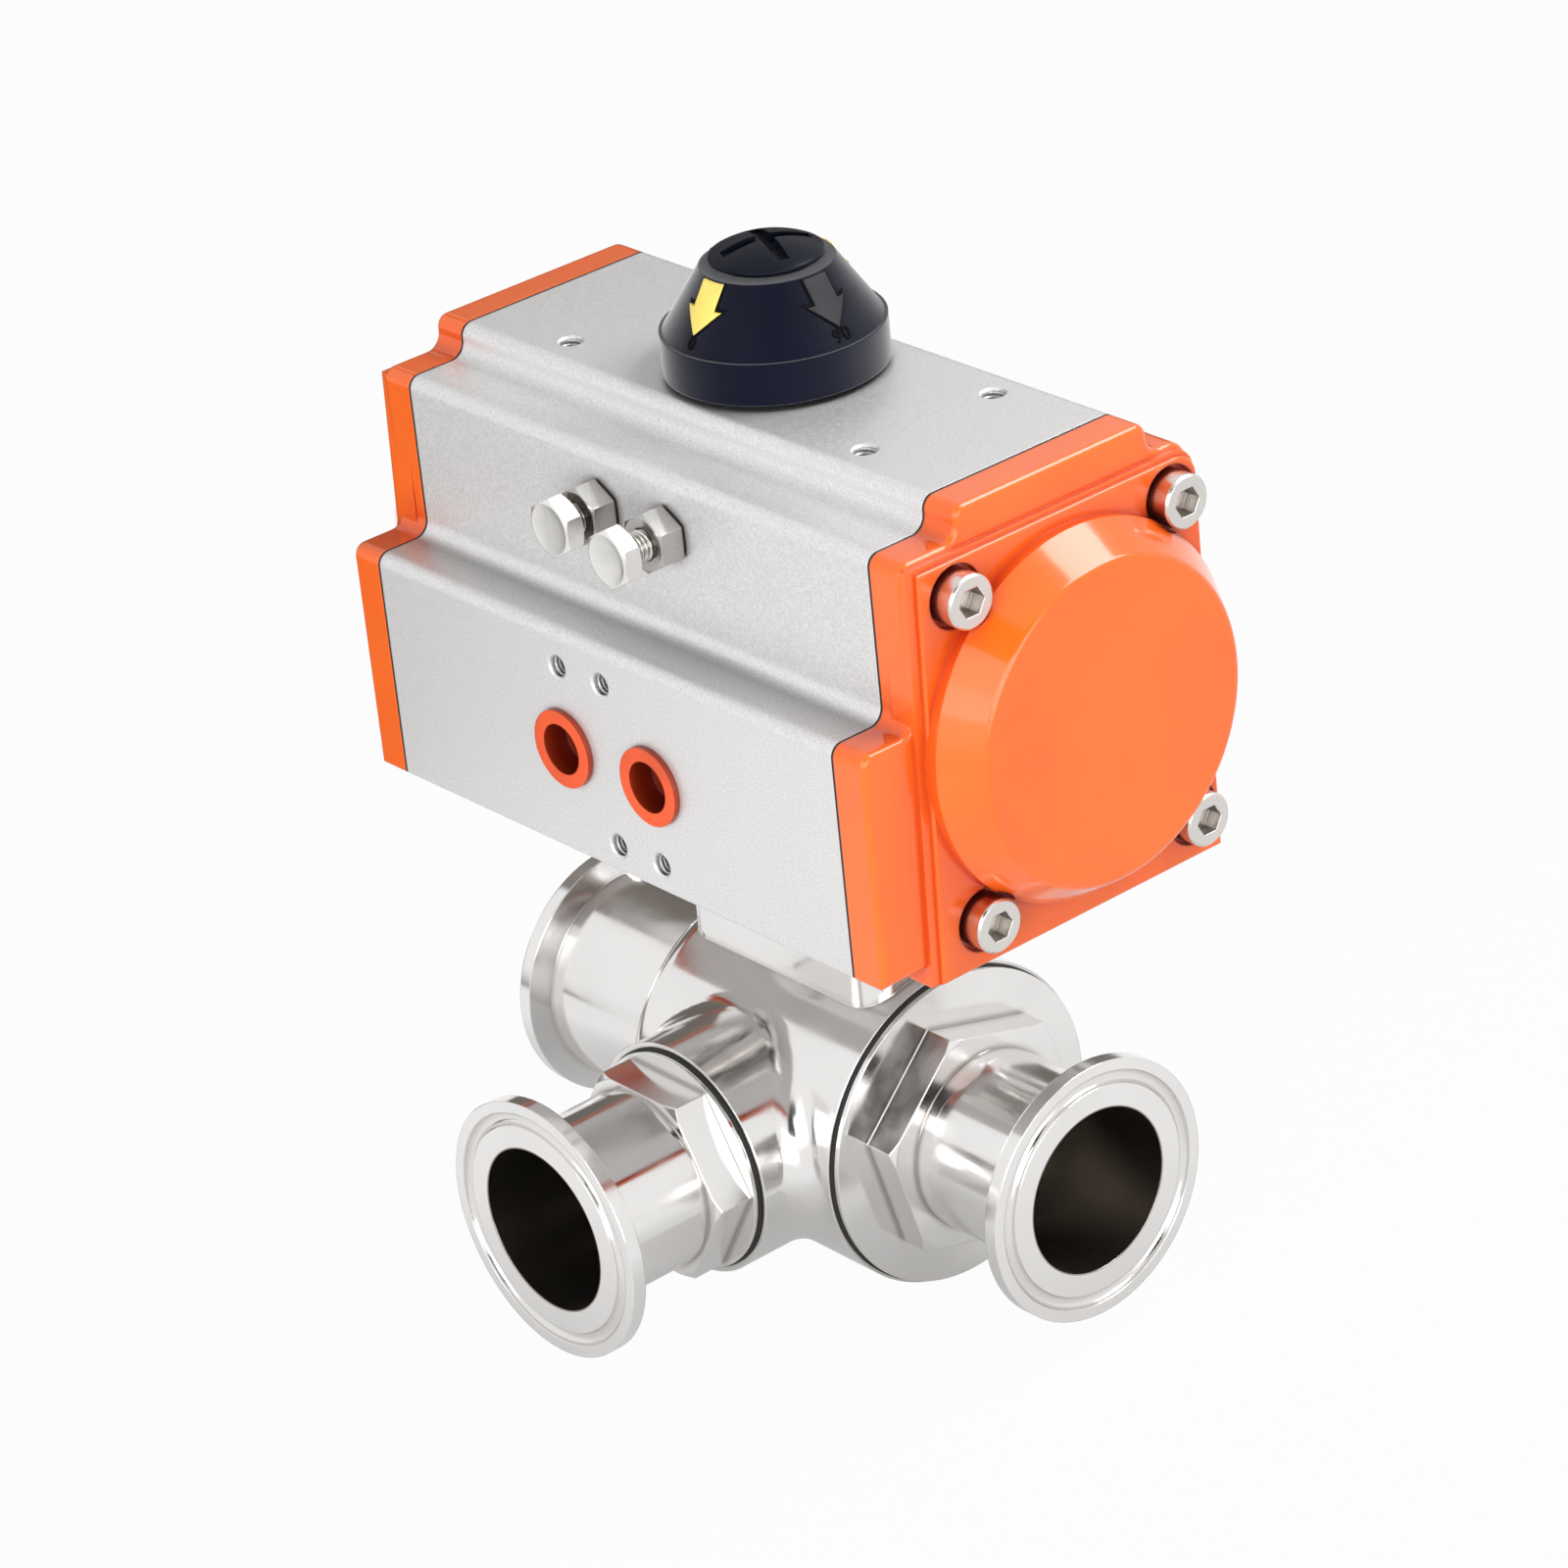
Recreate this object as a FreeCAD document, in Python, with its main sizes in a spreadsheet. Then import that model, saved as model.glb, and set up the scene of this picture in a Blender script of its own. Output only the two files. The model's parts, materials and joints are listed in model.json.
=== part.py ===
import FreeCAD, Part
import math
import os
import re
import Sketcher
from fcgear import fcgear, involute

# Pneumatic three-way ball valve, in millimetres.
# The origin is the middle of the actuator's top face, +Z is up along the shaft, and +X runs along the
# pistons to the right-hand port. The front port and the air ports face -Y.

SIZES = {
    # Actuator housing
    "body_length": 125.0,
    "body_height": 81.5,
    "axis_rise": 36.1,
    "bore_diameter": 52.0,
    "front_half_width": 47.5,
    "waist_half_width": 35.6,
    "back_half_width": 31.7,
    "pad_half_width": 22.5,
    "front_step_rise": 44.5,
    "shelf_drop": 6.0,
    "outer_corner_radius": 2.5,
    "inner_corner_radius": 3.0,
    "back_corner_radius": 4.5,
    "accessory_spacing_long": 80.0,
    "accessory_spacing_short": 30.0,
    "accessory_hole_diameter": 4.2,
    "accessory_hole_depth": 8.0,
    "hole_chamfer": 0.4,
    # Air connection face
    "air_level_rise": 21.0,
    "air_port_spacing": 24.0,
    "air_port_diameter": 11.8,
    "air_port_depth": 12.0,
    "air_screw_spacing": 32.0,
    "air_passage_diameter": 4.0,
    "air_passage_drop": 9.5,
    "air_passage_inset": 8.5,
    "air_link_diameter": 2.8,
    "plug_flange_diameter": 15.0,
    "plug_flange_thickness": 1.2,
    "plug_recess_diameter": 9.8,
    "plug_length": 8.0,
    # End caps, their gaskets and screws
    "gasket_thickness": 0.5,
    "cap_flange_thickness": 7.6,
    "cap_block_thickness": 1.8,
    "cap_block_front_bottom": 35.6,
    "cap_block_front_top": 33.2,
    "cap_block_rise": 37.4,
    "cap_block_fall": 39.4,
    "cap_lug_depth": 5.0,
    "cap_ledge_width": 1.9,
    "cap_edge_radius": 1.2,
    "cap_block_round": 0.5,
    "dome_base_radius": 34.8,
    "dome_step": 2.0,
    "dome_front_radius": 29.7,
    "dome_length": 7.4,
    "dome_rim_radius": 1.5,
    "cap_cavity_radius": 23.0,
    "cap_cavity_depth": 11.0,
    "cap_screw_width": 50.5,
    "cap_screw_height": 61.6,
    "cap_screw_diameter": 6.0,
    "cap_screw_head_diameter": 10.0,
    "cap_screw_head_length": 6.0,
    "cap_screw_proud": 4.1,
    "cap_screw_grip": 11.0,
    "cap_counterbore_clearance": 0.9,
    "socket_across_flats": 5.0,
    "socket_depth": 3.0,
    # Rack, pinion and pistons
    "gear_module": 1.25,
    "gear_width": 24.0,
    "rack_width": 20.0,
    "rack_backlash": 0.16,
    "piston_clearance": 0.3,
    "piston_thickness": 11.0,
    "piston_end_clearance": 1.5,
    "piston_pad_inset": 1.1,
    "piston_recess_radius": 16.0,
    "piston_recess_depth": 5.0,
    "ring_running_clearance": 0.08,
    "piston_oring_section": 2.6,
    "groove_floor_gap": 0.1,
    "piston_band_width": 3.6,
    "piston_band_thickness": 1.2,
    "piston_pad_height": 10.0,
    "piston_pad_thickness": 2.4,
    "piston_pad_length": 26.0,
    "journal_diameter": 16.0,
    "journal_shoulder": 1.2,
    "running_clearance": 0.05,
    "bearing_wall": 1.5,
    "drive_square": 11.0,
    "drive_square_depth": 12.0,
    "square_clearance": 0.1,
    "shaft_oring_section": 1.4,
    "shaft_top_height": 12.0,
    # Travel stops
    "stop_cam_radius": 14.8,
    "stop_cam_hub_radius": 10.0,
    "stop_cam_thickness": 6.4,
    "stop_cam_flat": 13.6,
    "stop_chamber_clearance": 1.2,
    "stop_chamber_roof_depth": 13.2,
    "stop_bolt_offset": 9.2,
    "stop_bolt_depth": 16.9,
    "stop_bolt_diameter": 6.0,
    "stop_bolt_length": 33.0,
    "stop_bolt_right_reach": 14.1,
    "stop_bolt_left_reach": 12.0,
    "stop_gap": 0.3,
    "stop_across_flats": 10.0,
    "stop_head_height": 4.0,
    "stop_nut_height": 5.0,
    "stop_seal_thickness": 0.8,
    # Position indicator
    "washer_thickness": 1.0,
    "washer_width": 4.0,
    "circlip_thickness": 1.1,
    "circlip_width": 2.6,
    "indicator_gap": 1.2,
    "indicator_radius": 20.4,
    "indicator_band_top": 9.0,
    "indicator_cone_base": 19.8,
    "indicator_cone_top": 12.2,
    "indicator_height": 20.6,
    "indicator_web": 3.0,
    "indicator_screw_diameter": 6.0,
    "arrow_length": 8.2,
    "arrow_tip_height": 12.2,
    "arrow_head_length": 4.0,
    "arrow_head_width": 8.2,
    "arrow_stem_width": 5.0,
    "arrow_thickness": 0.5,
    "knob_radius": 10.4,
    "knob_rim_height": 1.3,
    "knob_dome_height": 3.0,
    "knob_plug_radius": 7.6,
    "knob_slot_width": 1.5,
    # Valve body
    "neck_height": 62.5,
    "port_face_side": 67.6,
    "port_face_front": 74.55,
    "port_bore_diameter": 32.0,
    "tube_diameter": 35.0,
    "ferrule_diameter": 50.5,
    "ferrule_rim_thickness": 2.9,
    "ferrule_groove_diameter": 43.5,
    "ferrule_groove_radius": 1.3,
    "barrel_radius": 31.3,
    "barrel_half_length": 29.5,
    "left_neck_radius": 21.0,
    "left_end_round": 6.0,
    "left_neck_round": 4.0,
    "branch_radius": 22.9,
    "branch_length": 41.0,
    "branch_fillet": 6.0,
    "cavity_clearance": 0.7,
    "neck_block_length": 53.0,
    "neck_block_width": 29.2,
    "neck_block_rise": 38.5,
    "neck_corner_radius": 6.0,
    "round_neck_diameter": 29.0,
    "mounting_pad_width": 50.0,
    "mounting_pad_thickness": 9.0,
    "mounting_circle": 50.0,
    "mounting_screw_diameter": 6.0,
    "mounting_screw_grip": 9.0,
    "mounting_head_height": 4.0,
    "screw_hole_clearance": 0.3,
    # Screwed end connectors
    "connector_gasket_thickness": 0.5,
    "right_gasket_radius": 30.75,
    "front_gasket_radius": 21.8,
    "right_collar_radius": 30.5,
    "front_collar_radius": 21.5,
    "right_collar_length": 1.3,
    "front_collar_length": 1.0,
    "right_across_flats": 41.0,
    "front_across_flats": 36.0,
    "right_hex_length": 6.7,
    "front_hex_length": 7.8,
    "hex_chamfer": 1.4,
    "thread_clearance": 0.1,
    # Ball, seats and stem
    "ball_radius": 24.5,
    "ball_bore_diameter": 29.0,
    "seat_inset": 4.0,
    "seat_lip": 0.9,
    "seat_gap": 0.2,
    "throat_length": 6.0,
    "stem_diameter": 14.0,
    "stem_flange_diameter": 20.0,
    "stem_flange_thickness": 2.8,
    "stem_ring_thickness": 0.8,
    "tang_width": 7.8,
    "tang_depth": 4.8,
    "packing_radius": 10.4,
    "packing_floor": 36.0,
    "packing_ring_height": 2.4,
    "packing_chevron": 0.9,
    "gland_height": 9.0,
}

GEAR_TEETH = 16
PRESSURE_ANGLE = 20.0
ADDENDUM = 0.95
DEDENDUM = 1.25
RACK_TEETH = 8
RACK_LEAD_TEETH = 6
PACKING_RINGS = 3
FERRULE_BACK_ANGLE = 20.0
SMALLEST_DISTANCE = 1e-9
TOLERANCE = 0.01

# Levels and radii that follow from the sizes, as expressions of the sheet's names
AXIS = "(-body_height + axis_rise)"
AXIS_DEPTH = "(body_height - axis_rise)"
BOTTOM = "(-body_height)"
PORT = "(-body_height - neck_height)"
END = "(body_length / 2)"
BORE = "(bore_diameter / 2)"
FLANGE = "(body_length / 2 + gasket_thickness)"
FLANGE_FACE = "(body_length / 2 + gasket_thickness + cap_flange_thickness)"
BLOCK_FACE = "(body_length / 2 + gasket_thickness + cap_flange_thickness + cap_block_thickness)"
SCREW_FLOOR = f"({BLOCK_FACE} + cap_screw_proud - cap_screw_head_length)"
CAP_TOP = f"({AXIS} + cap_block_rise)"
CAP_BOTTOM = f"({AXIS} - cap_block_fall)"
SCREW_Y = "(cap_screw_width / 2)"
SCREW_RISE = "(cap_screw_height / 2)"
AIR_LEVEL = "(-body_height + air_level_rise)"
PITCH_RADIUS = f"(gear_module * {GEAR_TEETH} / 2)"
TOOTH_PITCH = f"({math.pi} * gear_module)"
GEAR_TIP = f"({PITCH_RADIUS} + gear_module * {ADDENDUM})"
STROKE = f"({PITCH_RADIUS} * {math.pi / 2})"
PISTON_OUTER = f"({END} - piston_end_clearance - {STROKE})"
PISTON_INNER = f"({PISTON_OUTER} - piston_thickness)"
PISTON_RADIUS = f"({BORE} - piston_clearance)"
PISTON_ARM = f"({BORE} - piston_pad_inset - piston_pad_thickness)"
JOURNAL = "(journal_diameter / 2)"
LOWER_JOURNAL = f"({GEAR_TIP} + journal_shoulder)"
UPPER_BEARING = f"({JOURNAL} + running_clearance)"
LOWER_BEARING = f"({LOWER_JOURNAL} + running_clearance)"
CAM_TOP = "(-stop_chamber_roof_depth - 0.5)"
CAM_BOTTOM = f"({CAM_TOP} - stop_cam_thickness)"
INDICATOR_BORE = f"({JOURNAL} + running_clearance)"
CHAMBER_RADIUS = "(stop_cam_radius + stop_chamber_clearance)"
PORT_RADIUS = "(port_bore_diameter / 2)"
TUBE_RADIUS = "(tube_diameter / 2)"
FERRULE_RADIUS = "(ferrule_diameter / 2)"
STEM = "(stem_diameter / 2)"
PAD_BOTTOM = "(-body_height - mounting_pad_thickness)"
MOUNTING_OFFSET = f"(mounting_circle * {math.sqrt(0.5) / 2})"
BALL_BORE = "(ball_bore_diameter / 2)"
CAVITY = "(ball_radius + cavity_clearance)"
SEAT_BACK = "(ball_radius - seat_inset)"
SEAT_OUTER = f"({SEAT_BACK} - seat_lip)"
SEAT_BORE = f"({SEAT_OUTER} + thread_clearance)"
THROAT = f"({BALL_BORE} + seat_gap)"
THROAT_END = f"({SEAT_BACK} + throat_length)"

PLANES = {"XY": "XY_Plane", "XZ": "XZ_Plane", "YZ": "YZ_Plane"}
TO_X = FreeCAD.Rotation(FreeCAD.Vector(0, 1, 0), 90)
TO_Y = FreeCAD.Rotation(FreeCAD.Vector(1, 0, 0), -90)
TO_Z = FreeCAD.Rotation()
DIRECTIONS = {"X": TO_X, "Y": TO_Y, "Z": TO_Z}

document = FreeCAD.newDocument("ThreeWayValve")
sheet = document.addObject("Spreadsheet::Sheet", "Sizes")
for row, (alias, number) in enumerate(SIZES.items(), start=1):
    sheet.set(f"A{row}", alias)
    sheet.set(f"B{row}", str(number))
    sheet.setAlias(f"B{row}", alias)
document.recompute()


def value(expression):
    """The number that an expression of the sheet's names gives."""
    return float(sheet.evalExpression(str(expression)))


def bound(expression):
    """The expression as another object of the document writes it."""
    def full_name(found):
        return "Sizes." + found[0] if found[0] in SIZES else found[0]

    return re.sub(r"[a-z_]+", full_name, str(expression))


def bind(thing, **expressions):
    for name, expression in expressions.items():
        thing.setExpression(name, bound(expression))


def place(thing, x="0", y="0", z="0", rotation=TO_Z):
    thing.Placement = FreeCAD.Placement(FreeCAD.Vector(value(x), value(y), value(z)), rotation)
    for axis, expression in (("x", x), ("y", y), ("z", z)):
        if expression != "0":
            thing.setExpression(f"Placement.Base.{axis}", bound(expression))
    return thing


# Sketches whose every point is tied to the sheet
def new_body(label):
    body = document.addObject("PartDesign::Body", label)
    body.Label = label
    return body


def new_sketch(body, plane, offset="0"):
    sketch = body.newObject("Sketcher::SketchObject", "Outline")
    support = [item for item in body.Origin.OriginFeatures if item.Role == PLANES[plane]]
    sketch.AttachmentSupport = (support[0], [""])
    sketch.MapMode = "FlatFace"
    sketch.AttachmentOffset = FreeCAD.Placement(FreeCAD.Vector(0, 0, value(offset)), FreeCAD.Rotation())
    if offset != "0":
        sketch.setExpression("AttachmentOffset.Base.z", bound(offset))
    return sketch


def tie_distance(sketch, kind, curve, vertex, expression):
    """Holds one coordinate of a point, DistanceX across or DistanceY up."""
    distance = value(expression)
    if abs(distance) < SMALLEST_DISTANCE:
        axis = -2 if kind == "DistanceX" else -1
        sketch.addConstraint(Sketcher.Constraint("PointOnObject", curve, vertex, axis))
        return
    index = sketch.addConstraint(Sketcher.Constraint(kind, -1, 1, curve, vertex, distance))
    name = f"{kind}{curve}at{vertex}"
    sketch.renameConstraint(index, name)
    sketch.setExpression("Constraints." + name, bound(expression))


def tie_point(sketch, curve, vertex, point):
    tie_distance(sketch, "DistanceX", curve, vertex, point[0])
    tie_distance(sketch, "DistanceY", curve, vertex, point[1])


def arc_between(start, end, centre):
    """The arc from start to end, anticlockwise about the centre."""
    angles = [math.atan2(spot.y - centre.y, spot.x - centre.x) for spot in (start, end)]
    circle = Part.Circle(centre, FreeCAD.Vector(0, 0, 1), centre.distanceToPoint(start))
    return Part.ArcOfCircle(circle, *angles)


def draw_polygon(sketch, points):
    """Joins the points in turn by lines; a point with a centre as its third item starts an arc."""
    first = sketch.GeometryCount
    corners = [FreeCAD.Vector(value(point[0]), value(point[1]), 0) for point in points]
    count = len(corners)
    curves = []
    for i, point in enumerate(points):
        start, end = corners[i], corners[(i + 1) % count]
        if len(point) == 2:
            curves.append(Part.LineSegment(start, end))
        else:
            centre = FreeCAD.Vector(value(point[2][0]), value(point[2][1]), 0)
            curves.append(arc_between(start, end, centre))
    sketch.addGeometry(curves, False)
    sketch.addConstraint([
        Sketcher.Constraint("Coincident", first + i, 2, first + (i + 1) % count, 1) for i in range(count)
    ])
    for i, point in enumerate(points):
        tie_point(sketch, first + i, 1, point)
        if len(point) > 2:
            tie_distance(sketch, "DistanceX", first + i, 3, point[2][0])


def draw_circle(sketch, radius, centre=("0", "0")):
    middle = FreeCAD.Vector(value(centre[0]), value(centre[1]), 0)
    curve = sketch.addGeometry(Part.Circle(middle, FreeCAD.Vector(0, 0, 1), value(radius)), False)
    tie_point(sketch, curve, 3, centre)
    index = sketch.addConstraint(Sketcher.Constraint("Radius", curve, value(radius)))
    sketch.renameConstraint(index, f"Radius{curve}")
    sketch.setExpression(f"Constraints.Radius{curve}", bound(radius))


def polygon_sketch(body, plane, points, offset="0"):
    sketch = new_sketch(body, plane, offset)
    draw_polygon(sketch, points)
    return sketch


def circle_sketch(body, plane, radius, centres=(("0", "0"),), offset="0"):
    sketch = new_sketch(body, plane, offset)
    for centre in centres:
        draw_circle(sketch, radius, centre)
    return sketch


def hexagon(across_flats, first_angle):
    radius = f"({across_flats} * {1 / math.sqrt(3)})"
    angles = [math.radians(first_angle + 60 * i) for i in range(6)]
    return [(f"{radius} * {math.cos(angle):.6f}", f"{radius} * {math.sin(angle):.6f}") for angle in angles]


def rectangle(half_width, half_height):
    return [
        (f"-({half_width})", f"-({half_height})"),
        (half_width, f"-({half_height})"),
        (half_width, half_height),
        (f"-({half_width})", half_height),
    ]


def rounded_rectangle(half_width, half_height, radius):
    wide, high = f"({half_width})", f"({half_height})"
    flat_u, flat_v = f"({half_width} - {radius})", f"({half_height} - {radius})"
    return [
        (f"-{flat_u}", f"-{high}"),
        (flat_u, f"-{high}", (flat_u, f"-{flat_v}")),
        (wide, f"-{flat_v}"),
        (wide, flat_v, (flat_u, flat_v)),
        (flat_u, high),
        (f"-{flat_u}", high, (f"-{flat_u}", flat_v)),
        (f"-{wide}", flat_v),
        (f"-{wide}", f"-{flat_v}", (f"-{flat_u}", f"-{flat_v}")),
    ]


def four_points(across, up, middle="0"):
    """Four places, mirrored about the middle line in both directions."""
    return [(f"{a}({across})", f"{middle} {b} ({up})") for a in ("", "-") for b in ("+", "-")]


# Features of a body
def pad(body, sketch, length, backward=False):
    feature = body.newObject("PartDesign::Pad", "Pad")
    feature.Profile = sketch
    feature.Reversed = backward
    bind(feature, Length=length)
    document.recompute()
    return feature


def pocket(body, sketch, length="", forward=False):
    """Cuts against the sketch's normal, or along it where forward is set; right through without a length."""
    feature = body.newObject("PartDesign::Pocket", "Pocket")
    feature.Profile = sketch
    feature.Reversed = forward
    if length:
        bind(feature, Length=length)
    else:
        feature.Type = "ThroughAll"
    document.recompute()
    return feature


def revolve(body, sketch, axis="V_Axis", cut=False):
    feature = body.newObject("PartDesign::Groove" if cut else "PartDesign::Revolution", "Turned")
    feature.Profile = sketch
    feature.ReferenceAxis = (sketch, [axis])
    feature.Angle = 360
    document.recompute()
    return feature


def named_edges(shape, wanted):
    return [f"Edge{i}" for i, edge in enumerate(shape.Edges, start=1) if wanted(edge)]


def fillet(body, wanted, radius):
    base = body.Tip
    feature = body.newObject("PartDesign::Fillet", "Fillet")
    feature.Base = (base, named_edges(base.Shape, wanted))
    bind(feature, Radius=radius)
    document.recompute()
    return feature


def chamfer(body, wanted, size):
    base = body.Tip
    feature = body.newObject("PartDesign::Chamfer", "Chamfer")
    feature.Base = (base, named_edges(base.Shape, wanted))
    bind(feature, Size=size)
    document.recompute()
    return feature


def along(direction, *corners):
    """Tests for straight edges in one direction through the named corners of a profile."""
    places = [(value(u), value(v)) for u, v in corners]
    across = {"X": ("y", "z"), "Y": ("x", "z"), "Z": ("x", "y")}[direction]

    def wanted(edge):
        if not isinstance(edge.Curve, Part.Line):
            return False
        start, end = edge.Vertexes[0].Point, edge.Vertexes[-1].Point
        spots = [tuple(getattr(point, axis) for axis in across) for point in (start, end)]
        if math.dist(spots[0], spots[1]) > TOLERANCE:
            return False
        return any(math.dist(spots[0], corner) < TOLERANCE for corner in places)

    return wanted


def flat_at(axis, level, smallest=0.0):
    """Tests for edges that lie in one plane across an axis."""
    height = value(level)

    def wanted(edge):
        levels = [getattr(point, axis) for point in edge.discretize(5)]
        return edge.Length > smallest and all(abs(level - height) < TOLERANCE for level in levels)

    return wanted


def rim_at(axis, level, radius):
    """Tests for round edges of one radius in one plane."""
    height = value(level)
    size = value(radius)

    def wanted(edge):
        if not isinstance(edge.Curve, Part.Circle):
            return False
        offset = getattr(edge.Curve.Center, axis) - height
        return abs(edge.Curve.Radius - size) < TOLERANCE and abs(offset) < TOLERANCE

    return wanted


def crossing(edge):
    """Tests for the edge where two cylinders cross."""
    return not isinstance(edge.Curve, (Part.Line, Part.Circle))


# Plain round pieces and groups
def cylinder(radius, length, x="0", y="0", z="0", direction="Z"):
    item = document.addObject("Part::Cylinder", "Cylinder")
    bind(item, Radius=radius, Height=length)
    return place(item, x, y, z, DIRECTIONS[direction])


def box(length, width, height, x, y, z):
    """A box centred on x and y that stands on z."""
    item = document.addObject("Part::Box", "Box")
    bind(item, Length=length, Width=width, Height=height)
    return place(item, f"{x} - ({length}) / 2", f"{y} - ({width}) / 2", z)


def cut(label, base, tool):
    item = document.addObject("Part::Cut", label)
    item.Label = label
    item.Base = base
    item.Tool = tool
    return item


def ring(label, outer, inner, length, x="0", y="0", z="0", direction="Z"):
    solid = cylinder(outer, length, x, y, z, direction)
    return cut(label, solid, cylinder(inner, length, x, y, z, direction))


def oring(label, centre_radius, section_radius, x="0", y="0", z="0", direction="Z"):
    item = document.addObject("Part::Torus", label)
    item.Label = label
    bind(item, Radius1=centre_radius, Radius2=section_radius)
    return place(item, x, y, z, DIRECTIONS[direction])


def group(label, items):
    item = document.addObject("Part::Compound", label)
    item.Label = label
    item.Links = items
    return item


def copies(label, source, places, rotations=None):
    """One piece repeated at several places, as separate solids."""
    links = []
    for index, (x, y, z) in enumerate(places):
        link = document.addObject("App::Link", "Copy")
        link.LinkedObject = source
        place(link, x, y, z, rotations[index] if rotations else TO_Z)
        links.append(link)
    document.recompute()
    return group(label, links)


def mirrored(label, source):
    """The same piece on the other side of the middle plane x = 0."""
    item = document.addObject("Part::Mirroring", label)
    item.Label = label
    item.Source = source
    item.Normal = FreeCAD.Vector(1, 0, 0)
    return item


# Actuator housing
BODY_PROFILE = [
    ("-front_half_width", BOTTOM),
    ("-front_half_width", f"{BOTTOM} + front_step_rise"),
    ("-waist_half_width", f"{BOTTOM} + front_step_rise"),
    ("-waist_half_width", "-shelf_drop"),
    ("-pad_half_width", "-shelf_drop"),
    ("-pad_half_width", "0"),
    ("pad_half_width", "0"),
    ("pad_half_width", "-shelf_drop"),
    ("back_half_width", "-shelf_drop"),
    ("back_half_width", BOTTOM),
]
OUTER_CORNERS = [BODY_PROFILE[i] for i in (1, 3, 5, 6)]
INNER_CORNERS = [BODY_PROFILE[i] for i in (2, 4, 7)]
BACK_CORNER = BODY_PROFILE[8]
OUTER_ROUND = "min(outer_corner_radius; shelf_drop * 0.4)"
INNER_ROUND = "min(inner_corner_radius; shelf_drop * 0.5; (back_half_width - pad_half_width) * 0.4)"
BACK_ROUND = "min(back_corner_radius; (back_half_width - pad_half_width) * 0.5)"
CAP_SCREW_PLACES = four_points(SCREW_Y, SCREW_RISE, AXIS)
PASSAGE = ("-front_half_width + air_passage_inset", f"{AIR_LEVEL} - air_passage_drop")


def profiled_block(label, start, length):
    """A length of the housing's outer section, with its corners rounded."""
    body = new_body(label)
    pad(body, polygon_sketch(body, "YZ", BODY_PROFILE, start), length)
    fillet(body, along("X", *INNER_CORNERS), INNER_ROUND)
    fillet(body, along("X", *OUTER_CORNERS), OUTER_ROUND)
    fillet(body, along("X", BACK_CORNER), BACK_ROUND)
    return body


def make_actuator_body():
    body = profiled_block("actuator_body", f"-{END}", "body_length")
    pocket(body, circle_sketch(body, "YZ", BORE, [("0", AXIS)], END))
    lower = circle_sketch(body, "XY", f"{LOWER_BEARING} + bearing_wall", offset=BOTTOM)
    pocket(body, lower, "axis_rise", forward=True)
    pocket(body, circle_sketch(body, "XY", f"{UPPER_BEARING} + bearing_wall"), AXIS_DEPTH)
    chamber = circle_sketch(body, "XY", CHAMBER_RADIUS, offset="-stop_chamber_roof_depth")
    pocket(body, chamber, f"{AXIS_DEPTH} - stop_chamber_roof_depth")
    accessory = four_points("accessory_spacing_long / 2", "accessory_spacing_short / 2")
    pocket(body, circle_sketch(body, "XY", "accessory_hole_diameter / 2", accessory), "accessory_hole_depth")
    chamfer(body, rim_at("z", "0", "accessory_hole_diameter / 2"), "hole_chamfer")
    mounting = four_points(MOUNTING_OFFSET, MOUNTING_OFFSET)
    screw_holes = circle_sketch(body, "XY", "mounting_screw_diameter / 2", mounting, BOTTOM)
    pocket(body, screw_holes, "mounting_screw_grip + 1", forward=True)
    make_air_face(body)
    stop_holes = circle_sketch(
        body, "XZ", "stop_bolt_diameter / 2 + running_clearance",
        [("stop_bolt_offset", "-stop_bolt_depth"), ("-stop_bolt_offset", "-stop_bolt_depth")],
        "waist_half_width",
    )
    pocket(body, stop_holes, "waist_half_width - stop_bolt_offset / 2")
    for start, forward in ((f"-{END}", True), (END, False)):
        ends = circle_sketch(body, "YZ", "cap_screw_diameter / 2", CAP_SCREW_PLACES, start)
        pocket(body, ends, "cap_screw_grip + 1", forward)
    return body


def make_air_face(body):
    """Two air ports, four threaded holes and the passages behind them, all in the lower front face."""
    ports = [("air_port_spacing / 2", AIR_LEVEL), ("-air_port_spacing / 2", AIR_LEVEL)]
    port_holes = circle_sketch(body, "XZ", "air_port_diameter / 2", ports, "front_half_width")
    pocket(body, port_holes, "air_port_depth")
    screws = [
        ("0", f"{AIR_LEVEL} + air_screw_spacing / 2"),
        ("0", f"{AIR_LEVEL} - air_screw_spacing / 2"),
        ("-air_port_spacing / 2", f"{AIR_LEVEL} + air_screw_spacing / 2"),
        ("air_port_spacing / 2", f"{AIR_LEVEL} - air_screw_spacing / 2"),
    ]
    screw_holes = circle_sketch(body, "XZ", "accessory_hole_diameter / 2", screws, "front_half_width")
    pocket(body, screw_holes, "accessory_hole_depth")
    chamfer(body, rim_at("y", "-front_half_width", "accessory_hole_diameter / 2"), "hole_chamfer")
    inner = circle_sketch(body, "XZ", "air_passage_diameter / 2", [ports[1]], "front_half_width")
    pocket(body, inner, "front_half_width - bore_diameter / 4")
    pocket(body, circle_sketch(body, "YZ", "air_passage_diameter / 2", [PASSAGE], END))
    link_place = ("air_port_spacing / 2", PASSAGE[0])
    link = circle_sketch(body, "XY", "air_link_diameter / 2", [link_place], AIR_LEVEL)
    pocket(body, link, "air_passage_drop")


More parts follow.
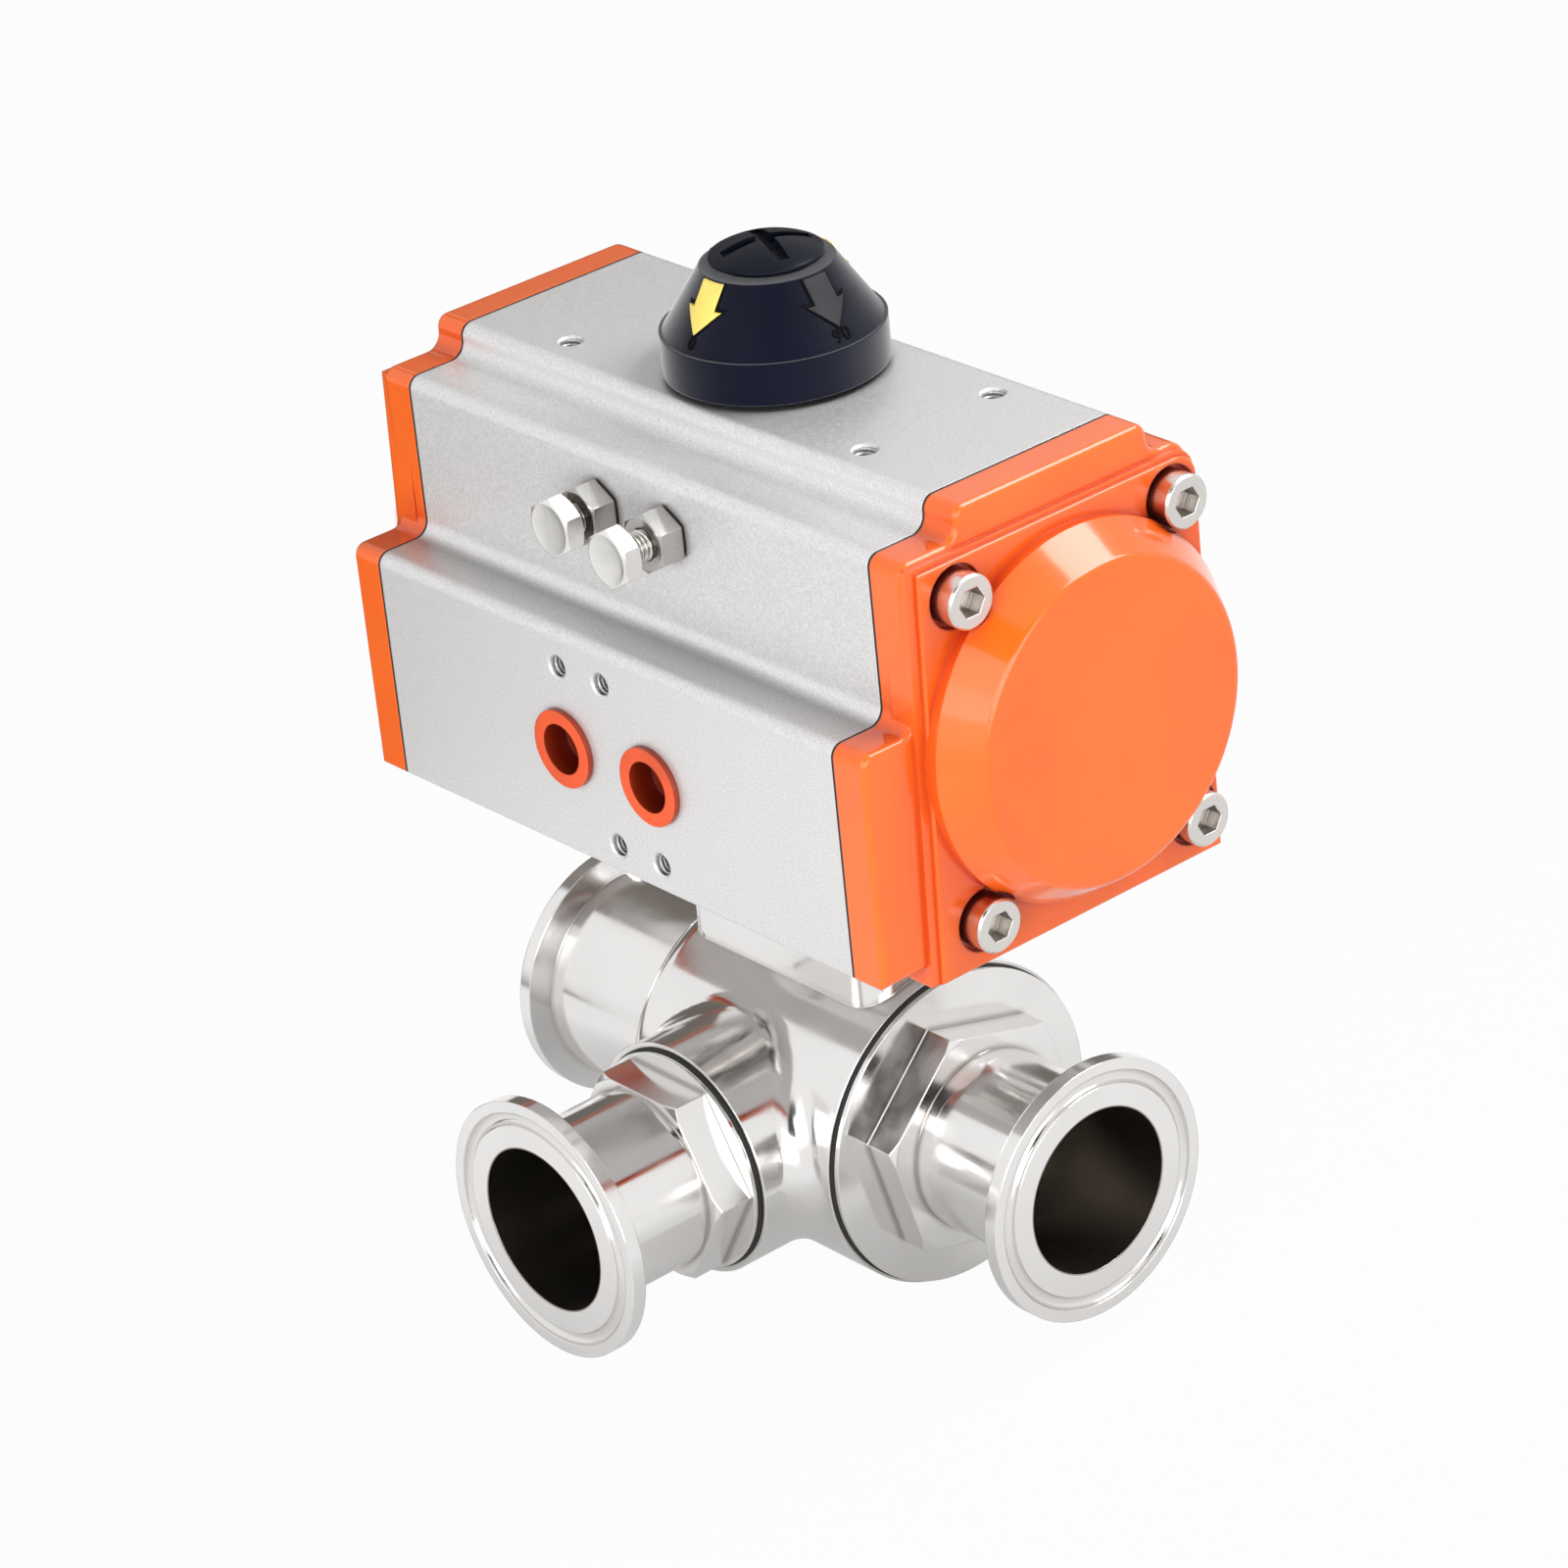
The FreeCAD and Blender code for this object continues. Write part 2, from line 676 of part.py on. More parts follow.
def make_end_cap():
    body = profiled_block("end_cap_right", FLANGE, "cap_flange_thickness")
    fillet(body, flat_at("x", FLANGE_FACE, 0.5), "min(cap_edge_radius; cap_flange_thickness / 4)")
    lug = f"({FLANGE_FACE} - cap_lug_depth)"
    ledge = cap_block_outline("cap_ledge_width", "cap_ledge_width / 2")
    pad(body, polygon_sketch(body, "YZ", ledge, lug), "cap_lug_depth + cap_block_thickness / 2")
    block = cap_block_outline("0", "0")
    pad(body, polygon_sketch(body, "YZ", block, lug), "cap_lug_depth + cap_block_thickness")
    fillet(body, flat_at("x", BLOCK_FACE), "min(cap_block_round; cap_block_thickness / 3)")
    dome_start = f"({BLOCK_FACE} + dome_step)"
    dome_end = f"({BLOCK_FACE} + dome_step + dome_length)"
    dome = [
        (FLANGE_FACE, "0"),
        (dome_end, "0"),
        (dome_end, "dome_front_radius"),
        (dome_start, "dome_base_radius"),
        (FLANGE_FACE, "dome_base_radius"),
    ]
    revolve(body, polygon_sketch(body, "XY", dome, AXIS), "H_Axis")
    fillet(body, rim_at("x", dome_end, "dome_front_radius"), "dome_rim_radius")
    back = [
        (FLANGE_FACE, "back_half_width"),
        (f"{dome_end} + 1", "back_half_width"),
        (f"{dome_end} + 1", "dome_base_radius + 5"),
        (FLANGE_FACE, "dome_base_radius + 5"),
    ]
    pocket(body, polygon_sketch(body, "XY", back))
    return body


def cap_block_outline(front, top):
    """The raised block's outline, wider by the given amounts in front and on top."""
    corner_y = f"(back_half_width - {BACK_ROUND})"
    corner_z = f"({CAP_TOP} + {top} - {BACK_ROUND})"
    return [
        (f"-(cap_block_front_bottom + {front})", CAP_BOTTOM),
        ("back_half_width", CAP_BOTTOM),
        ("back_half_width", corner_z, (corner_y, corner_z)),
        (corner_y, f"{CAP_TOP} + {top}"),
        (f"-(cap_block_front_top + {front})", f"{CAP_TOP} + {top}"),
    ]


def make_cap_openings(body):
    cavity = circle_sketch(body, "YZ", "cap_cavity_radius", [("0", AXIS)], FLANGE)
    pocket(body, cavity, "cap_cavity_depth", forward=True)
    clearance = "cap_screw_diameter / 2 + screw_hole_clearance"
    pocket(body, circle_sketch(body, "YZ", clearance, CAP_SCREW_PLACES, FLANGE), forward=True)
    wide = "cap_screw_head_diameter / 2 + cap_counterbore_clearance"
    pocket(body, circle_sketch(body, "YZ", wide, CAP_SCREW_PLACES, SCREW_FLOOR), forward=True)
    slot = [
        (f"{PASSAGE[0]} - air_passage_diameter / 2", f"{PASSAGE[1]} - air_passage_diameter / 2"),
        ("-cap_cavity_radius / 2", f"{PASSAGE[1]} - air_passage_diameter / 2"),
        ("-cap_cavity_radius / 2", f"{PASSAGE[1]} + air_passage_diameter / 2"),
        (f"{PASSAGE[0]} - air_passage_diameter / 2", f"{PASSAGE[1]} + air_passage_diameter / 2"),
    ]
    pocket(body, polygon_sketch(body, "YZ", slot, FLANGE), "air_passage_diameter / 2", forward=True)


def make_cap_gasket():
    body = profiled_block("cap_gasket_right", END, "gasket_thickness")
    pocket(body, circle_sketch(body, "YZ", BORE, [("0", AXIS)], END), forward=True)
    holes = circle_sketch(body, "YZ", "cap_screw_diameter / 2 + screw_hole_clearance", CAP_SCREW_PLACES, END)
    draw_circle(holes, "air_passage_diameter / 2", PASSAGE)
    pocket(body, holes, forward=True)
    return body


def make_cap_screw():
    """A socket head cap screw along X, with the head's seat at the origin."""
    body = new_body("cap_screw")
    shank_end = f"{END} - cap_screw_grip - {SCREW_FLOOR}"
    profile = [
        (shank_end, "0"),
        ("cap_screw_head_length", "0"),
        ("cap_screw_head_length", "cap_screw_head_diameter / 2"),
        ("0", "cap_screw_head_diameter / 2"),
        ("0", "cap_screw_diameter / 2"),
        (shank_end, "cap_screw_diameter / 2"),
    ]
    revolve(body, polygon_sketch(body, "XY", profile), "H_Axis")
    chamfer(body, rim_at("x", "cap_screw_head_length", "cap_screw_head_diameter / 2"), "hole_chamfer")
    socket = polygon_sketch(body, "YZ", hexagon("socket_across_flats", 0), "cap_screw_head_length")
    pocket(body, socket, "socket_depth")
    return body


def make_caps():
    cap = make_end_cap()
    make_cap_openings(cap)
    gasket = make_cap_gasket()
    screw_places = [(SCREW_FLOOR, y, z) for y, z in CAP_SCREW_PLACES]
    screws = copies("cap_screws_right", make_cap_screw(), screw_places)
    return [
        cap, gasket, screws,
        mirrored("end_cap_left", cap),
        mirrored("cap_gasket_left", gasket),
        mirrored("cap_screws_left", screws),
    ]


def make_port_plugs():
    """Transport plugs, each turned about Y with the back of its flange at the origin."""
    body = new_body("port_plug")
    barrel = "air_port_diameter / 2 - running_clearance"
    recess = "plug_recess_diameter / 2"
    profile = [
        ("0", "plug_length * 0.8"),
        ("0", "plug_length"),
        (barrel, "plug_length"),
        (barrel, "0"),
        ("plug_flange_diameter / 2", "0"),
        ("plug_flange_diameter / 2", "-plug_flange_thickness"),
        (recess, "-plug_flange_thickness"),
        (recess, "plug_length * 0.5"),
        (f"{recess} * 0.5", "plug_length * 0.5"),
        (f"{recess} * 0.5", "plug_length * 0.8"),
    ]
    revolve(body, polygon_sketch(body, "XY", profile))
    places = [(f"{side}air_port_spacing / 2", "-front_half_width", AIR_LEVEL) for side in ("", "-")]
    return copies("port_plugs", body, places)


# Rack, pinion and pistons
def make_pinion():
    """The shaft: involute teeth, two journals, flats for the cam and the female drive square below."""
    builder = fcgear.FCWireBuilder()
    involute.CreateExternalGear(
        builder, value("gear_module"), GEAR_TEETH, PRESSURE_ANGLE,
        split=False, addCoeff=ADDENDUM, dedCoeff=DEDENDUM,
    )
    outline = document.addObject("Part::Feature", "PinionTeeth")
    outline.Shape = Part.Wire([curve.toShape() for curve in builder.wire])
    place(outline, z=f"{AXIS} - gear_width / 2")
    teeth = document.addObject("Part::Extrusion", "PinionGear")
    teeth.Base = outline
    teeth.DirMode = "Custom"
    teeth.Dir = FreeCAD.Vector(0, 0, 1)
    teeth.Solid = True
    bind(teeth, LengthFwd="gear_width")

    shaft = new_body("PinionShaft")
    groove = "shaft_oring_section"
    upper_groove = "-shaft_oring_section * 2"
    lower_groove = f"{BOTTOM} + shaft_oring_section * 3"
    core = f"{PITCH_RADIUS} - gear_module * {DEDENDUM}"
    clip_floor = f"{JOURNAL} - circlip_width / 3"
    profile = [
        ("0", f"{BOTTOM} + stop_gap"),
        (LOWER_JOURNAL, f"{BOTTOM} + stop_gap"),
        (LOWER_JOURNAL, lower_groove),
        (f"{LOWER_JOURNAL} - {groove} - groove_floor_gap", lower_groove),
        (f"{LOWER_JOURNAL} - {groove} - groove_floor_gap", f"{lower_groove} + {groove}"),
        (LOWER_JOURNAL, f"{lower_groove} + {groove}"),
        (LOWER_JOURNAL, f"{AXIS} - {BORE} + gear_module * 4"),
        (core, f"{AXIS} - gear_width / 2 - gear_module * 2"),
        (core, f"{AXIS} + gear_width / 2 + gear_module"),
        (f"{JOURNAL} + journal_shoulder", f"{AXIS} + gear_width / 2 + gear_module"),
        (f"{JOURNAL} + journal_shoulder", CAM_BOTTOM),
        (JOURNAL, CAM_BOTTOM),
        (JOURNAL, upper_groove),
        (f"{JOURNAL} - {groove} - groove_floor_gap", upper_groove),
        (f"{JOURNAL} - {groove} - groove_floor_gap", f"{upper_groove} + {groove}"),
        (JOURNAL, f"{upper_groove} + {groove}"),
        (JOURNAL, "washer_thickness"),
        (clip_floor, "washer_thickness"),
        (clip_floor, "washer_thickness + circlip_thickness + stop_gap"),
        (JOURNAL, "washer_thickness + circlip_thickness + stop_gap"),
        (JOURNAL, "shaft_top_height"),
        ("0", "shaft_top_height"),
    ]
    revolve(shaft, polygon_sketch(shaft, "XZ", profile))
    half_square = "(drive_square + square_clearance) / 2"
    square = polygon_sketch(shaft, "XY", rectangle(half_square, half_square), BOTTOM)
    pocket(shaft, square, "drive_square_depth", forward=True)
    for side in ("", "-"):
        flat = [
            (f"{side}stop_cam_flat / 2", f"-{JOURNAL}"),
            (f"{side}(stop_cam_flat / 2 + 2)", f"-{JOURNAL}"),
            (f"{side}(stop_cam_flat / 2 + 2)", JOURNAL),
            (f"{side}stop_cam_flat / 2", JOURNAL),
        ]
        pocket(shaft, polygon_sketch(shaft, "XY", flat, CAM_BOTTOM), "stop_cam_thickness", forward=True)
    threads = circle_sketch(shaft, "XY", "indicator_screw_diameter / 2", offset="shaft_top_height")
    pocket(shaft, threads, "indicator_screw_diameter * 2")

    pinion = document.addObject("Part::Fuse", "pinion")
    pinion.Label = "pinion"
    pinion.Base = shaft
    pinion.Tool = teeth
    return pinion


def make_piston(label, turned):
    """A piston along X with its rack on the -Y side; the left one is the same piece turned half round."""
    body = new_body(label)
    ring_groove = f"{PISTON_OUTER} - piston_oring_section * 1.9"
    band_groove = f"{PISTON_INNER} + piston_clearance * 4"
    groove_floor = f"{BORE} - ring_running_clearance - piston_oring_section - groove_floor_gap"
    band_floor = f"{BORE} - ring_running_clearance - piston_band_thickness - groove_floor_gap"
    head = [
        (PISTON_INNER, "0"),
        (PISTON_INNER, PISTON_RADIUS),
        (band_groove, PISTON_RADIUS),
        (band_groove, band_floor),
        (f"{band_groove} + piston_band_width", band_floor),
        (f"{band_groove} + piston_band_width", PISTON_RADIUS),
        (ring_groove, PISTON_RADIUS),
        (ring_groove, groove_floor),
        (f"{ring_groove} + piston_oring_section * 1.15", groove_floor),
        (f"{ring_groove} + piston_oring_section * 1.15", PISTON_RADIUS),
        (PISTON_OUTER, PISTON_RADIUS),
        (PISTON_OUTER, "piston_recess_radius"),
        (f"{PISTON_OUTER} - piston_recess_depth", "piston_recess_radius"),
        (f"{PISTON_OUTER} - piston_recess_depth", "0"),
    ]
    revolve(body, polygon_sketch(body, "XY", head), "H_Axis")
    root = f"({PITCH_RADIUS} + gear_module * {DEDENDUM})"
    first_tooth = f"(-{RACK_LEAD_TEETH - 0.5} * {TOOTH_PITCH})"
    arm_end = f"({first_tooth} - {TOOTH_PITCH} * 0.6)"
    section = [
        (f"-{PISTON_ARM}", "-rack_width / 2"),
        (f"-{root}", "-rack_width / 2"),
        (f"-{root}", "rack_width / 2"),
        (f"-{PISTON_ARM}", "rack_width / 2"),
    ]
    pad(body, polygon_sketch(body, "YZ", section, arm_end), f"{PISTON_INNER} + 1 - {arm_end}")
    lean = math.tan(math.radians(PRESSURE_ANGLE))
    half_tooth = f"({TOOTH_PITCH} / 4 - rack_backlash / 2)"
    tip_half = f"({half_tooth} - {lean:.6f} * gear_module * {ADDENDUM})"
    root_half = f"({half_tooth} + {lean:.6f} * gear_module * {DEDENDUM})"
    tip = f"({PITCH_RADIUS} - gear_module * {ADDENDUM})"
    tooth = [
        (f"{first_tooth} - {root_half}", f"-{root}"),
        (f"{first_tooth} - {tip_half}", f"-{tip}"),
        (f"{first_tooth} + {tip_half}", f"-{tip}"),
        (f"{first_tooth} + {root_half}", f"-{root}"),
    ]
    tooth_sketch = polygon_sketch(body, "XY", tooth, "-rack_width / 2")
    first = pad(body, tooth_sketch, "rack_width")
    teeth = body.newObject("PartDesign::LinearPattern", "Rack")
    teeth.Originals = [first]
    teeth.Direction = (tooth_sketch, ["H_Axis"])
    teeth.Occurrences = RACK_TEETH
    bind(teeth, Length=f"{TOOTH_PITCH} * {RACK_TEETH - 1}")
    body.Tip = teeth
    document.recompute()
    rotation = FreeCAD.Rotation(FreeCAD.Vector(0, 0, 1), 180 if turned else 0)
    return place(body, z=AXIS, rotation=rotation)


def make_piston_rings(side, sign):
    """The seal, the guide band and the guide pad behind the rack, which travel with the piston."""
    groove_middle = f"({PISTON_OUTER} - piston_oring_section * (1.9 - 0.575))"
    seal_radius = "(piston_oring_section / 2)"
    seal = oring(
        f"piston_oring_{side}",
        f"{BORE} - ring_running_clearance - {seal_radius}", seal_radius,
        x=f"{sign}{groove_middle}", z=AXIS, direction="X",
    )
    band_start = f"({PISTON_INNER} + piston_clearance * 4 + 0.1)"
    band_width = "(piston_band_width - 0.2)"
    if sign:
        band_start = f"({band_start} + {band_width})"
    band = ring(
        f"piston_band_{side}",
        f"{BORE} - ring_running_clearance", f"{BORE} - ring_running_clearance - piston_band_thickness",
        band_width, x=f"{sign}{band_start}", z=AXIS, direction="X",
    )
    pad_side = "" if sign else "-"
    guide = box(
        "piston_pad_length", "piston_pad_thickness", "piston_pad_height",
        x="0", y=f"{pad_side}({PISTON_ARM} + piston_pad_thickness / 2)", z=f"{AXIS} - piston_pad_height / 2",
    )
    guide.Label = f"piston_pad_{side}"
    return [seal, band, guide]


def make_bearings():
    upper = ring(
        "upper_bearing", f"{UPPER_BEARING} + bearing_wall", UPPER_BEARING,
        "stop_chamber_roof_depth", z="-stop_chamber_roof_depth",
    )
    wall = f"axis_rise - {BORE} - stop_gap"
    lower = ring(
        "lower_bearing", f"{LOWER_BEARING} + bearing_wall", LOWER_BEARING, wall, z=f"{BOTTOM} + stop_gap"
    )
    section = "shaft_oring_section / 2"
    upper_seal = oring("shaft_oring_upper", f"{JOURNAL} - {section}", section, z="-shaft_oring_section * 1.5")
    lower_seal = oring(
        "shaft_oring_lower", f"{LOWER_JOURNAL} - {section}", section,
        z=f"{BOTTOM} + shaft_oring_section * 3.5",
    )
    washer = ring("thrust_washer", f"{UPPER_BEARING} + washer_width", UPPER_BEARING, "washer_thickness")
    circlip = make_circlip()
    return [upper, lower, upper_seal, lower_seal, washer, circlip]


def make_circlip():
    """An open retaining ring in the groove above the top face."""
    inner = f"({JOURNAL} - circlip_width / 3)"
    level = "washer_thickness + stop_gap / 2"
    whole = ring("CirclipRing", f"{inner} + circlip_width", inner, "circlip_thickness", z=level)
    gap = box("circlip_width * 2", "circlip_width", "circlip_thickness", x=f"{JOURNAL}", y="0", z=level)
    return cut("shaft_circlip", whole, gap)


def make_stop_cam():
    """A hub with a quarter lobe whose two flanks meet the travel stop bolts."""
    body = new_body("stop_cam")
    right_tip = "(waist_half_width + stop_bolt_right_reach - stop_head_height - stop_bolt_length)"
    left_tip = "(waist_half_width + stop_bolt_left_reach - stop_head_height - stop_bolt_length)"
    right_flank = f"({right_tip} - stop_gap)"
    left_flank = f"({left_tip} - stop_gap)"
    pad(body, circle_sketch(body, "XY", "stop_cam_hub_radius", offset=CAM_BOTTOM), "stop_cam_thickness")
    reach = "(stop_cam_radius + 2)"
    lobe = [
        (reach, f"-{right_flank}"),
        (reach, reach),
        (f"-{left_flank}", reach),
        (f"-{left_flank}", "0"),
        ("0", "0"),
        ("0", f"-{right_flank}"),
    ]
    pad(body, polygon_sketch(body, "XY", lobe, CAM_BOTTOM), "stop_cam_thickness")
    trim = new_sketch(body, "XY", CAM_BOTTOM)
    draw_circle(trim, "stop_cam_radius")
    draw_circle(trim, "stop_cam_radius * 2")
    pocket(body, trim, "stop_cam_thickness", forward=True)
    bore = circle_sketch(body, "XY", f"{JOURNAL} + running_clearance", offset=CAM_BOTTOM)
    pocket(body, bore, "stop_cam_thickness", forward=True)
    return body


def hex_body(label, across_flats, start, length):
    """A hexagon along Y from start towards -Y, with its outer corners turned off."""
    body = new_body(label)
    pad(body, polygon_sketch(body, "XZ", hexagon(across_flats, 30), start), length)
    outer = f"({start} + {length})"
    corner = f"({across_flats} * {1 / math.sqrt(3):.6f})"
    flat = f"({across_flats} / 2)"
    triangle = [
        (f"{flat} * 0.97", f"-{outer}"),
        (f"{corner} + 1", f"-{outer}"),
        (f"{corner} + 1", f"-{outer} + ({corner} + 1 - {flat} * 0.97) * 0.5"),
    ]
    revolve(body, polygon_sketch(body, "XY", triangle), "V_Axis", cut=True)
    return body


def make_travel_stop(side, sign, reach):
    """One adjusting bolt; reach is how far its head stands out of the waist face."""
    head_back = f"(waist_half_width + {reach} - stop_head_height)"
    body = hex_body(f"travel_stop_bolt_{side}", "stop_across_flats", head_back, "stop_head_height")
    shank = circle_sketch(body, "XZ", "stop_bolt_diameter / 2", offset=head_back)
    pad(body, shank, "stop_bolt_length", backward=True)
    return place(body, x=f"{sign}stop_bolt_offset", z="-stop_bolt_depth")


def make_stop_hardware():
    nut = hex_body(
        "lock_nut", "stop_across_flats", "(waist_half_width + stop_seal_thickness)", "stop_nut_height"
    )
    hole = circle_sketch(nut, "XZ", "stop_bolt_diameter / 2 + running_clearance", offset="waist_half_width")
    pocket(nut, hole, forward=True)
    places = [(f"{sign}stop_bolt_offset", "0", "-stop_bolt_depth") for sign in ("", "-")]
    nuts = copies("stop_lock_nuts", nut, places)
    seals = []
    for x, y, z in places:
        seals.append(ring(
            "StopSeal", "stop_across_flats * 0.48", "stop_bolt_diameter / 2 + running_clearance",
            "stop_seal_thickness", x=x, y="-waist_half_width - stop_seal_thickness", z=z, direction="Y",
        ))
    return [
        make_travel_stop("right", "", "stop_bolt_right_reach"),
        make_travel_stop("left", "-", "stop_bolt_left_reach"),
        nuts,
        group("stop_bolt_seals", seals),
    ]


# Position indicator
def make_indicator():
    housing = new_body("indicator_housing")
    inner_top = "shaft_top_height + running_clearance * 2"
    web_top = f"{inner_top} + indicator_web"
    screw_hole = "indicator_screw_diameter / 2 + screw_hole_clearance"
    cavity = f"{UPPER_BEARING} + washer_width + 1"
    cavity_top = "washer_thickness + circlip_thickness + stop_gap + 1.5"
    profile = [
        (cavity, "indicator_gap"),
        ("indicator_radius", "indicator_gap"),
        ("indicator_radius", "indicator_band_top"),
        ("indicator_cone_base", "indicator_band_top"),
        ("indicator_cone_top", "indicator_height"),
        ("knob_plug_radius + running_clearance", "indicator_height"),
        ("knob_plug_radius + running_clearance", web_top),
        (screw_hole, web_top),
        (screw_hole, inner_top),
        (INDICATOR_BORE, inner_top),
        (INDICATOR_BORE, cavity_top),
        (cavity, cavity_top),
    ]
    revolve(housing, polygon_sketch(housing, "XZ", profile))

    knob = new_body("indicator_knob")
    plug_bottom = "indicator_height - knob_rim_height"
    rim_top = "indicator_height + knob_rim_height"
    dome = [
        ("0", plug_bottom),
        ("knob_plug_radius", plug_bottom),
        ("knob_plug_radius", "indicator_height"),
        ("knob_radius", "indicator_height"),
        ("knob_radius", rim_top),
        ("knob_radius * 0.9", f"{rim_top} + knob_dome_height * 0.35"),
        ("knob_radius * 0.66", f"{rim_top} + knob_dome_height * 0.72"),
        ("knob_radius * 0.34", f"{rim_top} + knob_dome_height * 0.95"),
        ("0", f"{rim_top} + knob_dome_height"),
    ]
    revolve(knob, polygon_sketch(knob, "XZ", dome))
    long_side, short_side = "knob_radius * 0.8", "knob_slot_width / 2"
    for wide, deep in ((long_side, short_side), (short_side, long_side)):
        slot = polygon_sketch(knob, "XY", rectangle(wide, deep), f"{rim_top} + knob_dome_height")
        pocket(knob, slot, "knob_dome_height")

    screw = new_body("indicator_screw")
    shank = "indicator_screw_diameter / 2 - running_clearance"
    shank_end = "shaft_top_height - indicator_screw_diameter * 1.5"
    head_top = f"{web_top} + indicator_screw_diameter * 0.5"
    screw_profile = [
        ("0", shank_end),
        (shank, shank_end),
        (shank, web_top),
        ("indicator_screw_diameter * 0.85", web_top),
        ("indicator_screw_diameter * 0.85", head_top),
        ("0", head_top),
    ]
    revolve(screw, polygon_sketch(screw, "XZ", screw_profile))
    yellow, black = make_arrows()
    return [housing, knob, screw, yellow, black]


def make_arrows():
    """Four arrow-shaped inlays that follow the cone, two of each colour."""
    shell = new_body("ConeSkin")
    skin = [
        ("indicator_cone_base", "indicator_band_top"),
        ("indicator_cone_base + arrow_thickness", "indicator_band_top"),
        ("indicator_cone_top + arrow_thickness", "indicator_height"),
        ("indicator_cone_top", "indicator_height"),
    ]
    revolve(shell, polygon_sketch(shell, "XZ", skin))
    cutter = new_body("ArrowOutline")
    base = "arrow_tip_height"
    outline = [
        ("0", base),
        ("arrow_head_width / 2", f"{base} + arrow_head_length"),
        ("arrow_stem_width / 2", f"{base} + arrow_head_length"),
        ("arrow_stem_width / 2", f"{base} + arrow_length"),
        ("-arrow_stem_width / 2", f"{base} + arrow_length"),
        ("-arrow_stem_width / 2", f"{base} + arrow_head_length"),
        ("-arrow_head_width / 2", f"{base} + arrow_head_length"),
    ]
    pad(cutter, polygon_sketch(cutter, "XZ", outline), "indicator_radius + 2")
    arrow = document.addObject("Part::Common", "Arrow")
    arrow.Base = shell
    arrow.Tool = cutter
    centre = ("0", "0", "0")
    sets = []
    for label, angles in (("indicator_arrows_yellow", (0, 180)), ("indicator_arrows_black", (90, 270))):
        turns = [FreeCAD.Rotation(FreeCAD.Vector(0, 0, 1), angle) for angle in angles]
        sets.append(copies(label, arrow, [centre, centre], turns))
    return sets


# Three-way valve
def ferrule_points(face, tube):
    """The outside of a clamp ferrule from its tube to its face, as distances along and out from the axis."""
    taper = math.tan(math.radians(FERRULE_BACK_ANGLE))
    back = f"({face} - ferrule_rim_thickness)"
    return [
        (f"{back} - ({FERRULE_RADIUS} - {tube}) * {taper:.6f}", tube),
        (back, FERRULE_RADIUS),
        (face, FERRULE_RADIUS),
    ]


def groove_ferrule(body, face, level, sign=""):
    """The half-round gasket groove in a ferrule's face."""
    sketch = circle_sketch(
        body, "XY", "ferrule_groove_radius", [(f"{sign}{face}", "ferrule_groove_diameter / 2")], level
    )
    revolve(body, sketch, "H_Axis", cut=True)


def make_valve_body():
    body = new_body("valve_body")
    ferrule = ferrule_points("port_face_side", "left_neck_radius")
    barrel = [
        ("barrel_half_length", "0"),
        ("barrel_half_length", "barrel_radius"),
        ("-barrel_half_length", "barrel_radius"),
        ("-barrel_half_length", "left_neck_radius"),
        *[(f"-({distance})", radius) for distance, radius in ferrule],
        ("-port_face_side", "0"),
    ]
    revolve(body, polygon_sketch(body, "XY", barrel, PORT), "H_Axis")
    step = "(barrel_radius - left_neck_radius)"
    outer_rim = rim_at("x", "-barrel_half_length", "barrel_radius")
    fillet(body, outer_rim, f"min(left_end_round; {step} * 0.55)")
    inner_rim = rim_at("x", "-barrel_half_length", "left_neck_radius")
    fillet(body, inner_rim, f"min(left_neck_round; {step} * 0.38)")
    branch = [
        ("0", "-branch_length"),
        ("branch_radius", "-branch_length"),
        ("branch_radius", "0"),
        ("0", "0"),
    ]
    revolve(body, polygon_sketch(body, "XY", branch, PORT), "V_Axis")
    fillet(body, crossing, "min(branch_fillet; (branch_length - barrel_radius) * 0.7)")
    block_round = "min(neck_corner_radius; neck_block_width / 4)"
    block = rounded_rectangle("neck_block_length / 2", "neck_block_width / 2", block_round)
    pad(body, polygon_sketch(body, "XY", block, PORT), "neck_block_rise")
    neck = circle_sketch(body, "XY", "round_neck_diameter / 2", offset=PORT)
    pad(body, neck, "neck_height - mounting_pad_thickness")
    plate = rounded_rectangle("mounting_pad_width / 2", "mounting_pad_width / 2", "mounting_pad_width / 10")
    pad(body, polygon_sketch(body, "XY", plate, PAD_BOTTOM), "mounting_pad_thickness")
    return body


